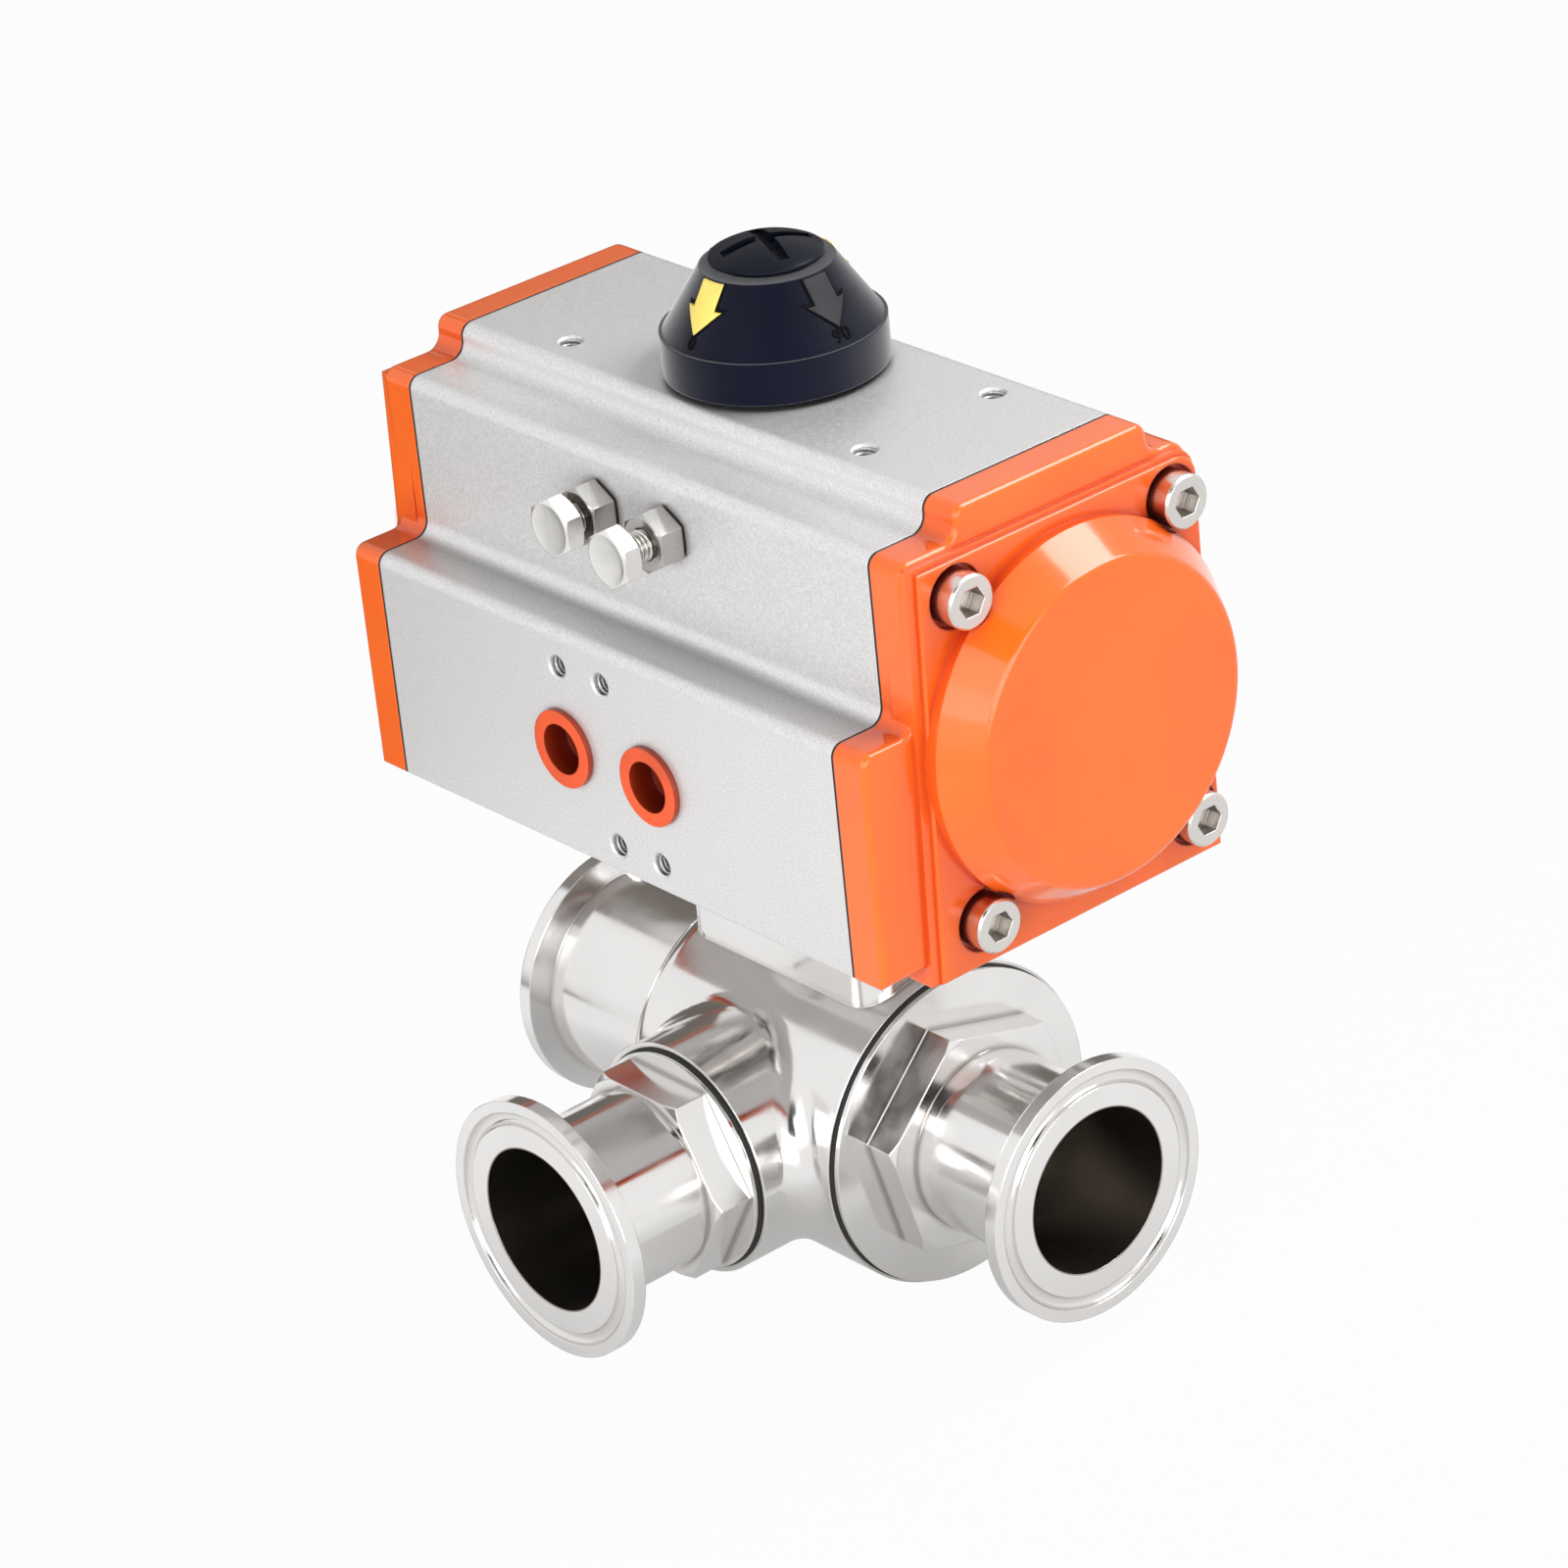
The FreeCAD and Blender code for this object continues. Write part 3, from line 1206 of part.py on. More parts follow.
def make_valve_openings(body):
    cavity = circle_sketch(body, "YZ", CAVITY, [("0", PORT)], "barrel_half_length")
    pocket(body, cavity, f"barrel_half_length + {BALL_BORE} + cavity_clearance * 2")
    seat = circle_sketch(body, "YZ", SEAT_BORE, [("0", PORT)], "barrel_half_length")
    pocket(body, seat, f"barrel_half_length + {SEAT_BACK}")
    pocket(body, circle_sketch(body, "YZ", THROAT, [("0", PORT)], "barrel_half_length"))
    pocket(body, circle_sketch(body, "YZ", PORT_RADIUS, [("0", PORT)], f"-{THROAT_END}"))
    front = circle_sketch(body, "XZ", SEAT_BORE, [("0", PORT)], "branch_length")
    pocket(body, front, f"branch_length + {SEAT_BACK}")
    recess = "stem_flange_diameter / 2 + thread_clearance * 2"
    flange_top = f"({PORT} + ball_radius + thread_clearance + stem_flange_thickness + stem_ring_thickness)"
    pocket(body, circle_sketch(body, "XY", recess, offset=flange_top), "ball_radius / 2")
    stem_hole = circle_sketch(body, "XY", f"{STEM} + running_clearance", offset=BOTTOM)
    pocket(body, stem_hole, "neck_height - ball_radius / 2")
    packing = circle_sketch(body, "XY", "packing_radius", offset=BOTTOM)
    pocket(body, packing, "neck_height - packing_floor")
    screws = circle_sketch(
        body, "XY", "mounting_screw_diameter / 2 + screw_hole_clearance",
        four_points(MOUNTING_OFFSET, MOUNTING_OFFSET), BOTTOM,
    )
    pocket(body, screws, "mounting_pad_thickness")
    groove_ferrule(body, "port_face_side", PORT, "-")


def make_connector(side, face, nose_radius, nose_end, angle):
    """A screwed end connector along X: threaded nose, collar, hexagon, tube and clamp ferrule."""
    body = new_body(f"connector_{side}")
    flats = f"{side}_across_flats"
    hex_length = f"{side}_hex_length"
    collar_radius = f"{side}_collar_radius"
    collar_end = f"({nose_end} + {side}_collar_length)"
    outside = [
        (THROAT_END, PORT_RADIUS),
        (THROAT_END, THROAT),
        (SEAT_BACK, THROAT),
        (SEAT_BACK, nose_radius),
        (nose_end, nose_radius),
        (nose_end, collar_radius),
        (collar_end, collar_radius),
        (collar_end, TUBE_RADIUS),
        *ferrule_points(face, TUBE_RADIUS),
        (face, PORT_RADIUS),
    ]
    revolve(body, polygon_sketch(body, "XY", outside), "H_Axis")
    hexagon_sketch = polygon_sketch(body, "YZ", hexagon(flats, angle), collar_end)
    draw_circle(hexagon_sketch, PORT_RADIUS)
    pad(body, hexagon_sketch, hex_length)
    hex_end = f"({collar_end} + {hex_length})"
    corner = f"({flats} * {1 / math.sqrt(3):.6f} + 1)"
    chamfer_start = f"({flats} * {1 / math.sqrt(3):.6f} - hex_chamfer)"
    triangle = [
        (hex_end, chamfer_start),
        (hex_end, corner),
        (f"{hex_end} - ({corner} - {chamfer_start}) * 0.6", corner),
    ]
    revolve(body, polygon_sketch(body, "XY", triangle), "H_Axis", cut=True)
    groove_ferrule(body, face, "0")
    return body


def make_connectors():
    right_end = "(barrel_half_length + connector_gasket_thickness)"
    right = make_connector("right", "port_face_side", f"({CAVITY} - thread_clearance)", right_end, 45)
    place(right, z=PORT)
    front_end = "(branch_length + connector_gasket_thickness)"
    front = make_connector("front", "port_face_front", SEAT_OUTER, front_end, 0)
    place(front, z=PORT, rotation=FreeCAD.Rotation(FreeCAD.Vector(0, 0, 1), -90))
    right_gasket = ring(
        "connector_gasket_right", "right_gasket_radius", CAVITY,
        "connector_gasket_thickness", x="barrel_half_length", z=PORT, direction="X",
    )
    front_gasket = ring(
        "connector_gasket_front", "front_gasket_radius", SEAT_BORE,
        "connector_gasket_thickness", y="-branch_length - connector_gasket_thickness", z=PORT, direction="Y",
    )
    return [right, front, right_gasket, front_gasket]


def make_ball():
    """A ball with an L-shaped bore between the left and the front port, and a slot on top for the stem."""
    sphere = document.addObject("Part::Sphere", "BallSphere")
    bind(sphere, Radius="ball_radius")
    elbow = document.addObject("Part::Sphere", "BallElbow")
    bind(elbow, Radius=BALL_BORE)
    left = cylinder(BALL_BORE, "ball_radius + 1", x="-ball_radius - 1", direction="X")
    front = cylinder(BALL_BORE, "ball_radius + 1", y="-ball_radius - 1", direction="Y")
    slot = box(
        "ball_radius * 2", "tang_width + thread_clearance * 2", "tang_depth + 1", x="0", y="0",
        z="ball_radius - tang_depth",
    )
    hollow = document.addObject("Part::MultiFuse", "BallHollow")
    hollow.Shapes = [elbow, left, front, slot]
    return place(cut("valve_ball", sphere, hollow), z=PORT)


def make_seats():
    """Four sealing rings round the ball, mitred against each other and backed by the body or a connector."""
    seats = []
    for name, angle in (("right", 0), ("rear", 90), ("left", 180), ("front", 270)):
        blank = new_body("SeatBlank")
        profile = [
            (f"{THROAT} + seat_gap", THROAT),
            (SEAT_BACK, THROAT),
            (SEAT_BACK, SEAT_OUTER),
            (f"{SEAT_OUTER} + seat_gap", SEAT_OUTER),
        ]
        revolve(blank, polygon_sketch(blank, "XY", profile), "H_Axis")
        sphere = document.addObject("Part::Sphere", "SeatSphere")
        bind(sphere, Radius="ball_radius + seat_gap")
        seat = cut(f"seat_{name}", blank, sphere)
        seats.append(place(seat, z=PORT, rotation=FreeCAD.Rotation(FreeCAD.Vector(0, 0, 1), angle)))
    return seats


def make_stem():
    """The stem: a tang in the ball, a flange that cannot blow out and a square for the pinion."""
    body = new_body("valve_stem")
    flange_bottom = f"({PORT} + ball_radius + thread_clearance)"
    flange_top = f"({flange_bottom} + stem_flange_thickness)"
    square_bottom = f"({BOTTOM} - mounting_pad_thickness / 2)"
    top = f"({BOTTOM} + drive_square_depth - stop_gap)"
    profile = [
        ("0", flange_bottom),
        ("stem_flange_diameter / 2", flange_bottom),
        ("stem_flange_diameter / 2", flange_top),
        (STEM, flange_top),
        (STEM, top),
        ("0", top),
    ]
    revolve(body, polygon_sketch(body, "XZ", profile))
    tang = rectangle("stem_flange_diameter * 0.42", "tang_width / 2")
    pad(body, polygon_sketch(body, "XY", tang, flange_bottom), "tang_depth - thread_clearance", backward=True)
    flats = polygon_sketch(body, "XY", rectangle("drive_square / 2", "drive_square / 2"), square_bottom)
    draw_circle(flats, "stem_diameter")
    pocket(body, flats, forward=True)
    return body


def make_stem_seals():
    inner = f"{STEM} + running_clearance"
    flange_top = f"({PORT} + ball_radius + thread_clearance + stem_flange_thickness)"
    thrust = ring("stem_thrust_ring", "stem_flange_diameter / 2", inner, "stem_ring_thickness", z=flange_top)
    chevron = new_body("packing_ring")
    middle = f"({inner} + packing_radius - running_clearance) / 2"
    outer = "packing_radius - running_clearance"
    profile = [
        (inner, "0"),
        (middle, "packing_chevron"),
        (outer, "0"),
        (outer, "packing_ring_height"),
        (middle, "packing_ring_height + packing_chevron"),
        (inner, "packing_ring_height"),
    ]
    revolve(chevron, polygon_sketch(chevron, "XZ", profile))
    levels = [("0", "0", f"{PORT} + packing_floor + packing_ring_height * {i}") for i in range(PACKING_RINGS)]
    packing = copies("stem_packing", chevron, levels)
    gland = new_body("packing_gland")
    bottom = f"({PORT} + packing_floor + packing_ring_height * {PACKING_RINGS} + packing_chevron)"
    gland_profile = [
        (inner, bottom),
        (outer, bottom),
        (outer, f"{bottom} + gland_height"),
        (inner, f"{bottom} + gland_height"),
    ]
    revolve(gland, polygon_sketch(gland, "XZ", gland_profile))
    slot = rectangle("packing_radius + 1", "gland_height / 6")
    pocket(gland, polygon_sketch(gland, "XY", slot, f"{bottom} + gland_height"), "gland_height / 3")
    return [thrust, packing, gland]


def make_mounting_screws():
    """Hexagon screws up through the valve's square pad into the actuator."""
    screw = new_body("mounting_screw")
    flats = "mounting_screw_diameter * 10 / 6"
    head = polygon_sketch(screw, "XY", hexagon(f"({flats})", 0), "-mounting_head_height")
    pad(screw, head, "mounting_head_height")
    shank = circle_sketch(screw, "XY", "mounting_screw_diameter / 2 - running_clearance")
    pad(screw, shank, "mounting_pad_thickness + mounting_screw_grip")
    places = [(x, y, PAD_BOTTOM) for x, y in four_points(MOUNTING_OFFSET, MOUNTING_OFFSET)]
    return copies("mounting_screws", screw, places)


def make_all():
    valve_body = make_valve_body()
    make_valve_openings(valve_body)
    return [
        make_actuator_body(),
        *make_caps(),
        make_port_plugs(),
        make_pinion(),
        make_piston("piston_right", False),
        make_piston("piston_left", True),
        *make_piston_rings("right", ""),
        *make_piston_rings("left", "-"),
        *make_bearings(),
        make_stop_cam(),
        *make_stop_hardware(),
        *make_indicator(),
        valve_body,
        *make_connectors(),
        make_ball(),
        *make_seats(),
        make_stem(),
        *make_stem_seals(),
        make_mounting_screws(),
    ]


def check(parts):
    """Stops the build if any object failed, any shape is unsound or any cut removed nothing."""
    for item in document.Objects:
        if "Invalid" in item.State or "Error" in item.State:
            raise RuntimeError(f"{item.Name} ({item.Label}) failed: {item.State}")
        if item.TypeId in ("PartDesign::Pocket", "PartDesign::Groove"):
            if item.Shape.Volume >= item.BaseFeature.Shape.Volume:
                raise RuntimeError(f"{item.Name} cuts nothing")
    for part in parts:
        if part.Shape.isNull() or not part.Shape.isValid() or part.Shape.Volume <= 0:
            raise RuntimeError(f"{part.Label} has an unsound shape")


parts = make_all()
document.recompute()
check(parts)
os.makedirs("parts", exist_ok=True)
for part in parts:
    part.Shape.exportStep(f"parts/{part.Label}.step")
print(f"{len(parts)} sub-parts, {sum(len(part.Shape.Solids) for part in parts)} solids")
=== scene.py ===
import json
import math
import bmesh
import bpy
from mathutils import Matrix, Vector


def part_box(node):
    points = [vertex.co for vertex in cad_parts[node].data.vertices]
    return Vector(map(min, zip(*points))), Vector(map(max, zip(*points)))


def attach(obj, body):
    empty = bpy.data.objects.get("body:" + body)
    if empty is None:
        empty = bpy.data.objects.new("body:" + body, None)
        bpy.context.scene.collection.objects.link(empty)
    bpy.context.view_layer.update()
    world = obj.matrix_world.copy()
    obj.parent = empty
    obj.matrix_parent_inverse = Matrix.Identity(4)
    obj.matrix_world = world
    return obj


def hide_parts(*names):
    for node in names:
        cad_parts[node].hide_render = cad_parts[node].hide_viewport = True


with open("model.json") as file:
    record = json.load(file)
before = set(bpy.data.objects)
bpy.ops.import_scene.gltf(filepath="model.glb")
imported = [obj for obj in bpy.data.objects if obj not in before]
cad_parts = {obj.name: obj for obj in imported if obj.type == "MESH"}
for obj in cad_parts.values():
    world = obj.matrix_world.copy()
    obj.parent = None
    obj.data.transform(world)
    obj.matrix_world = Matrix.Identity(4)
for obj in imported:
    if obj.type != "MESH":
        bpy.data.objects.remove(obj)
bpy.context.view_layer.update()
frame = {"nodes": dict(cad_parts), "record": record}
nodes = frame["nodes"]
scene = bpy.context.scene

MM = 0.001
PORT_LEVEL = -144.0
FLOOR_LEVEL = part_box("valve_body")[0].z


# Meshes, in millimetres until finish_mesh scales them
def finish_mesh(name, bm, material, body, sharp=35.0):
    """Turns a bmesh in millimetres into a smooth-shaded piece that rides on a body."""
    bmesh.ops.scale(bm, vec=(MM, MM, MM), verts=bm.verts)
    bmesh.ops.remove_doubles(bm, verts=bm.verts, dist=1e-7)
    bmesh.ops.recalc_face_normals(bm, faces=bm.faces)
    mesh = bpy.data.meshes.new(name)
    bm.to_mesh(mesh)
    bm.free()
    mesh.shade_smooth()
    mesh.set_sharp_from_angle(angle=math.radians(sharp))
    mesh.materials.append(material)
    piece = bpy.data.objects.new(name, mesh)
    scene.collection.objects.link(piece)
    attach(piece, body)
    return piece


def around(radius, angle, height):
    """A point at a radius and an angle about Z."""
    return Vector((radius * math.cos(angle), radius * math.sin(angle), height))


def turn_angles(segments):
    return [2 * math.pi * i / segments for i in range(segments)]


def bridge(bm, rings, closed_ends=True):
    """Joins rings of equal length by quads; the first and last are closed by a face."""
    for low, high in zip(rings, rings[1:]):
        count = len(low)
        for i in range(count):
            j = (i + 1) % count
            corners = [low[i], low[j], high[j], high[i]]
            if len(set(corners)) > 2:
                bm.faces.new(list(dict.fromkeys(corners)))
    if closed_ends:
        for ring in (rings[0], rings[-1]):
            if len(set(ring)) > 2:
                bm.faces.new(ring)


def lathe(profile, segments=96):
    """A turned solid about Z from (radius, height) points."""
    bm = bmesh.new()
    rings = []
    turn = 2 * math.pi / segments
    for radius, height in profile:
        if radius < 1e-6:
            point = bm.verts.new(Vector((0, 0, height)))
            rings.append([point] * segments)
        else:
            rings.append([bm.verts.new(around(radius, turn * i, height)) for i in range(segments)])
    bridge(bm, rings)
    return bm


# A thread's ridge: how deep its foot is sunk, and half its widths at foot and crest as shares of the pitch
THREAD_SUNK = 0.15
THREAD_FOOT = 0.46
THREAD_CREST = 0.07
THREAD_FADE = 2
THREAD_END = 0.02


def thread(bm, root, crest, pitch, start, end, matrix, steps=40):
    """A helical ridge from a root radius to a crest radius, outward or inward, tapered at both ends."""
    turns = (end - start) / pitch
    count = int(steps * turns)
    under = root - math.copysign(THREAD_SUNK, crest - root)
    section = [
        (under, -THREAD_FOOT), (root, -THREAD_FOOT), (crest, -THREAD_CREST),
        (crest, THREAD_CREST), (root, THREAD_FOOT), (under, THREAD_FOOT),
    ]
    rings = []
    for i in range(count + 1):
        turned = i / steps
        fade = min(1.0, turned * THREAD_FADE, (turns - turned) * THREAD_FADE + THREAD_END)
        angle = 2 * math.pi * turned
        ring = []
        for radius, shift in section:
            reach = root + (radius - root) * fade if radius == crest else radius
            spot = around(reach, angle, start + pitch * (turned + shift))
            ring.append(bm.verts.new(matrix @ spot))
        rings.append(ring)
    bridge(bm, rings)


# Materials
def new_material(name, colour, metallic=0.0, roughness=0.5, **sockets):
    """A material whose plain numbers sit on the shader's own sockets."""
    material = bpy.data.materials.new(name)
    material.use_nodes = True
    shader = material.node_tree.nodes["Principled BSDF"]
    shader.inputs["Base Color"].default_value = (*colour, 1)
    shader.inputs["Metallic"].default_value = metallic
    shader.inputs["Roughness"].default_value = roughness
    for socket, number in sockets.items():
        shader.inputs[socket.replace("_", " ")].default_value = number
    return material


def add_node(material, kind, **inputs):
    node = material.node_tree.nodes.new(kind)
    for socket, number in inputs.items():
        node.inputs[socket.replace("_", " ")].default_value = number
    return node


def link(material, source, target):
    material.node_tree.links.new(source, target)


def noise(material, scale, detail=2.0, roughness=0.5):
    """A noise in the piece's own metres."""
    place = add_node(material, "ShaderNodeTexCoord")
    texture = add_node(material, "ShaderNodeTexNoise", Scale=scale, Detail=detail, Roughness=roughness)
    link(material, place.outputs["Object"], texture.inputs["Vector"])
    return texture.outputs["Fac"]


def ramp(material, source, low, high, start=0.3, end=0.7):
    """Maps a grey value to a range of colours or numbers."""
    node = add_node(material, "ShaderNodeValToRGB")
    node.color_ramp.elements[0].position = start
    node.color_ramp.elements[1].position = end
    for element, colour in zip(node.color_ramp.elements, (low, high)):
        element.color = (*colour, 1) if isinstance(colour, tuple) else (colour, colour, colour, 1)
    link(material, source, node.inputs["Fac"])
    return node.outputs["Color"]


def bump(material, height, distance, strength, rounded):
    """Adds a bump of a real height in metres over an edge rounding of a real radius."""
    shader = material.node_tree.nodes["Principled BSDF"]
    node = add_node(material, "ShaderNodeBump", Strength=strength, Distance=distance)
    link(material, height, node.inputs["Height"])
    bevel = add_node(material, "ShaderNodeBevel", Radius=rounded)
    bevel.samples = 6
    link(material, bevel.outputs["Normal"], node.inputs["Normal"])
    link(material, node.outputs["Normal"], shader.inputs["Normal"])


def vary(material, socket, source):
    link(material, source, material.node_tree.nodes["Principled BSDF"].inputs[socket])


def math_node(material, operation, first, second):
    """A calculation on two values, each a socket or a number."""
    node = material.node_tree.nodes.new("ShaderNodeMath")
    node.operation = operation
    for index, source in enumerate((first, second)):
        if isinstance(source, (int, float)):
            node.inputs[index].default_value = source
        else:
            link(material, source, node.inputs[index])
    return node.outputs[0]


def blend_colours(material, fac, first, second):
    """Mixes two colours, each a socket or a plain colour."""
    node = material.node_tree.nodes.new("ShaderNodeMix")
    node.data_type = "RGBA"
    link(material, fac, node.inputs["Factor"])
    for socket, source in (("A", first), ("B", second)):
        target = next(item for item in node.inputs if item.name == socket and item.type == "RGBA")
        if isinstance(source, tuple):
            target.default_value = (*source, 1)
        else:
            link(material, source, target)
    return next(item for item in node.outputs if item.type == "RGBA")


def paint_corner_shade(material, source, shade, distance, start=0.35, end=0.95):
    """Paints shade into a colour in corners and recesses, by how much lies within a distance of the surface.
    """
    reach = add_node(material, "ShaderNodeAmbientOcclusion", Distance=distance)
    reach.samples = 6
    openness = ramp(material, reach.outputs["AO"], 0.0, 1.0, start, end)
    return blend_colours(material, openness, shade, source)


# Painted shade on ledges: the highest level they reach, how level they are, and how far off and how near the
# wall is
LEDGE_TOP = -20
LEDGE_LEVEL = (0.70, 0.97)
LEDGE_REACH = 0.014
LEDGE_COVERED = (0.35, 0.97)


def paint_ledge_shade(material, source, shade):
    """Paints shade into level ledges under a wall, which the lamps alone leave too light."""
    place = add_node(material, "ShaderNodeTexCoord")
    split = add_node(material, "ShaderNodeSeparateXYZ")
    link(material, place.outputs["Normal"], split.inputs[0])
    level = ramp(material, split.outputs["Z"], 0.0, 1.0, *LEDGE_LEVEL)
    height = add_node(material, "ShaderNodeSeparateXYZ")
    link(material, place.outputs["Object"], height.inputs[0])
    below = math_node(material, "LESS_THAN", height.outputs["Z"], LEDGE_TOP * MM)
    level = math_node(material, "MULTIPLY", level, below)
    reach = add_node(material, "ShaderNodeAmbientOcclusion", Distance=LEDGE_REACH)
    reach.samples = 8
    covered = ramp(material, reach.outputs["AO"], 1.0, 0.0, *LEDGE_COVERED)
    share = math_node(material, "MULTIPLY", level, covered)
    return blend_colours(material, share, source, shade)


# Painted shade on ledges
LEDGE_SHADE = (0.10, 0.096, 0.092)
GRAIN_TONES = ((0.60, 0.592, 0.590), (0.86, 0.85, 0.848))
# Painted shade in the aluminium's corners
ALUMINIUM_CORNER_SHADE = (0.06, 0.058, 0.056)
PAINT_TONES = ((0.90, 0.130, 0.009), (0.94, 0.150, 0.012))
# Painted shade in the orange paint's corners
PAINT_CORNER_SHADE = (0.48, 0.028, 0.003)
BORE_MASK = 16.25
# Painted shade inside the ports' bores
BORE_SHADE = (0.40, 0.37, 0.34)
BORE_GLOSS = 0.24
# Painted shade in the steels' corners
STEEL_CORNER_SHADE = (0.22, 0.19, 0.165)
PORTS = (("X", 200.0), ("Y", -20.0))


def make_aluminium():
    """Bead-blasted and anodised: a fine, even grain with darker and brighter specks, with painted shade on
    ledges and in corners.
    """
    material = new_material("AnodisedAluminium", (0.76, 0.75, 0.75), metallic=0.55, roughness=0.42)
    grain = noise(material, scale=2400.0, detail=3.0, roughness=0.8)
    tone = ramp(material, grain, *GRAIN_TONES)
    # Painted shade on ledges under a wall, then in corners and recesses
    tone = paint_ledge_shade(material, tone, LEDGE_SHADE)
    tone = paint_corner_shade(material, tone, ALUMINIUM_CORNER_SHADE, distance=0.004, start=0.15, end=0.70)
    vary(material, "Base Color", tone)
    vary(material, "Roughness", ramp(material, noise(material, scale=900.0), 0.36, 0.48))
    bump(material, grain, distance=0.00007, strength=0.6, rounded=0.0004)
    return material


def make_orange_paint():
    """Thick gloss coating with a faint orange peel, and painted shade in corners and recesses."""
    material = new_material(
        "OrangePaint", (0.92, 0.140, 0.010), metallic=0.0, roughness=0.24,
        Coat_Weight=0.9, Coat_Roughness=0.10, Specular_IOR_Level=0.15,
    )
    tone = ramp(material, noise(material, scale=45.0), *PAINT_TONES)
    # Painted shade in corners and recesses
    vary(material, "Base Color", paint_corner_shade(material, tone, PAINT_CORNER_SHADE, distance=0.010))
    bump(material, noise(material, scale=240.0, detail=1.0), distance=0.00005, strength=0.35, rounded=0.0007)
    return material


def inside_of(material, axis, radius, limit):
    """Is 1 within a radius of one port's axis on the side of the limit, and 0 outside."""
    place = add_node(material, "ShaderNodeTexCoord")
    split = add_node(material, "ShaderNodeSeparateXYZ")
    link(material, place.outputs["Object"], split.inputs[0])
    across = split.outputs["Y" if axis == "X" else "X"]
    along = split.outputs[axis]
    level = math_node(material, "ADD", split.outputs["Z"], -PORT_LEVEL * MM)
    squares = math_node(
        material, "ADD", math_node(material, "POWER", across, 2.0), math_node(material, "POWER", level, 2.0)
    )
    near = math_node(material, "LESS_THAN", squares, (radius * MM) ** 2)
    side = math_node(material, "LESS_THAN", along, limit * MM)
    return math_node(material, "MULTIPLY", near, side)


def make_steel(name, colour, roughness, wave_scale, wave_height, rounded=0.0004, corner=0.006, bores=()):
    """Stainless steel: polishing waves, small changes of gloss, painted shade in the ports' bores and
    painted shade in corners.
    """
    material = new_material(name, colour, 1.0, roughness)
    gloss = ramp(material, noise(material, scale=120.0, detail=3.0), roughness * 0.7, roughness * 1.5)
    tone = ramp(material, noise(material, scale=60.0), tuple(part * 0.94 for part in colour), colour)
    # Painted shade inside the ports' bores, with a duller gloss
    for axis, limit in bores:
        inside = inside_of(material, axis, BORE_MASK, limit)
        tone = blend_colours(material, inside, tone, BORE_SHADE)
        gloss = blend_colours(material, inside, gloss, (BORE_GLOSS,) * 3)
    # Painted shade in corners and recesses
    tone = paint_corner_shade(material, tone, STEEL_CORNER_SHADE, distance=corner, start=0.2, end=0.9)
    vary(material, "Base Color", tone)
    vary(material, "Roughness", gloss)
    bump(material, noise(material, wave_scale), wave_height, strength=0.6, rounded=rounded)
    return material


def make_plastic(name, colour, roughness, grain_height=0.00002, shade=None, **sockets):
    """Moulded plastic or rubber: a fine grain, small changes of tone, and painted shade in corners where a
    shade is given.
    """
    material = new_material(name, colour, 0.0, roughness, **sockets)
    dark = tuple(part * 0.85 for part in colour)
    light = tuple(min(1.0, part * 1.12) for part in colour)
    tone = ramp(material, noise(material, scale=90.0), dark, light)
    if shade:
        # Painted shade in corners and recesses
        tone = paint_corner_shade(material, tone, shade, distance=0.012)
    vary(material, "Base Color", tone)
    bump(material, noise(material, scale=1400.0), grain_height, strength=0.5, rounded=0.0003)
    return material


aluminium = make_aluminium()
orange_paint = make_orange_paint()
polished = make_steel(
    "PolishedStainless", (0.84, 0.825, 0.81), roughness=0.13,
    wave_scale=45.0, wave_height=0.00003, corner=0.0015, bores=PORTS,
)
hardware = make_steel(
    "StainlessHardware", (0.86, 0.85, 0.83), roughness=0.22,
    wave_scale=500.0, wave_height=0.00002, rounded=0.0003, corner=0.004,
)
screw_steel = make_steel(
    "ScrewSteel", (0.72, 0.69, 0.66), roughness=0.26,
    wave_scale=500.0, wave_height=0.00003, rounded=0.0003, corner=0.003,
)
nut_steel = make_steel(
    "NutSteel", (0.50, 0.49, 0.48), roughness=0.20,
    wave_scale=500.0, wave_height=0.00002, rounded=0.0003, corner=0.004,
)
machined = make_steel(
    "MachinedSteel", (0.50, 0.50, 0.51), roughness=0.28, wave_scale=700.0, wave_height=0.00002,
)
cast = make_steel(
    "CastAluminium", (0.55, 0.55, 0.56), roughness=0.45, wave_scale=300.0, wave_height=0.00008,
)
# The orange plugs get painted shade in their recesses
orange_plastic = make_plastic(
    "OrangePlastic", (0.80, 0.085, 0.010), roughness=0.35, shade=(0.10, 0.004, 0.001),
)
black_plastic = make_plastic(
    "BlackPlastic", (0.003, 0.004, 0.013), roughness=0.36, grain_height=0.00004,
    Specular_IOR_Level=0.05, Sheen_Weight=0.9, Sheen_Roughness=0.38,
)
knob_black = make_plastic(
    "KnobBlack", (0.004, 0.005, 0.011), roughness=0.33, grain_height=0.00004, Specular_IOR_Level=0.12,
)
arrow_black = make_plastic(
    "ArrowBlack", (0.036, 0.036, 0.042), roughness=0.42, grain_height=0.00006, Specular_IOR_Level=0.12,
)
# Black for the numbers, which is their own colour, and for the arrows' painted shadow lips
numbers_and_shadow_black = make_plastic("NumbersBlackAndPaintedShadow", (0.003, 0.003, 0.004), roughness=0.5, Specular_IOR_Level=0.05)
yellow_plastic = make_plastic("YellowPlastic", (1.0, 0.74, 0.17), roughness=0.40)
rubber = make_plastic("BlackRubber", (0.010, 0.010, 0.010), roughness=0.6)
polymer = make_plastic("WhitePolymer", (0.80, 0.79, 0.75), roughness=0.45)

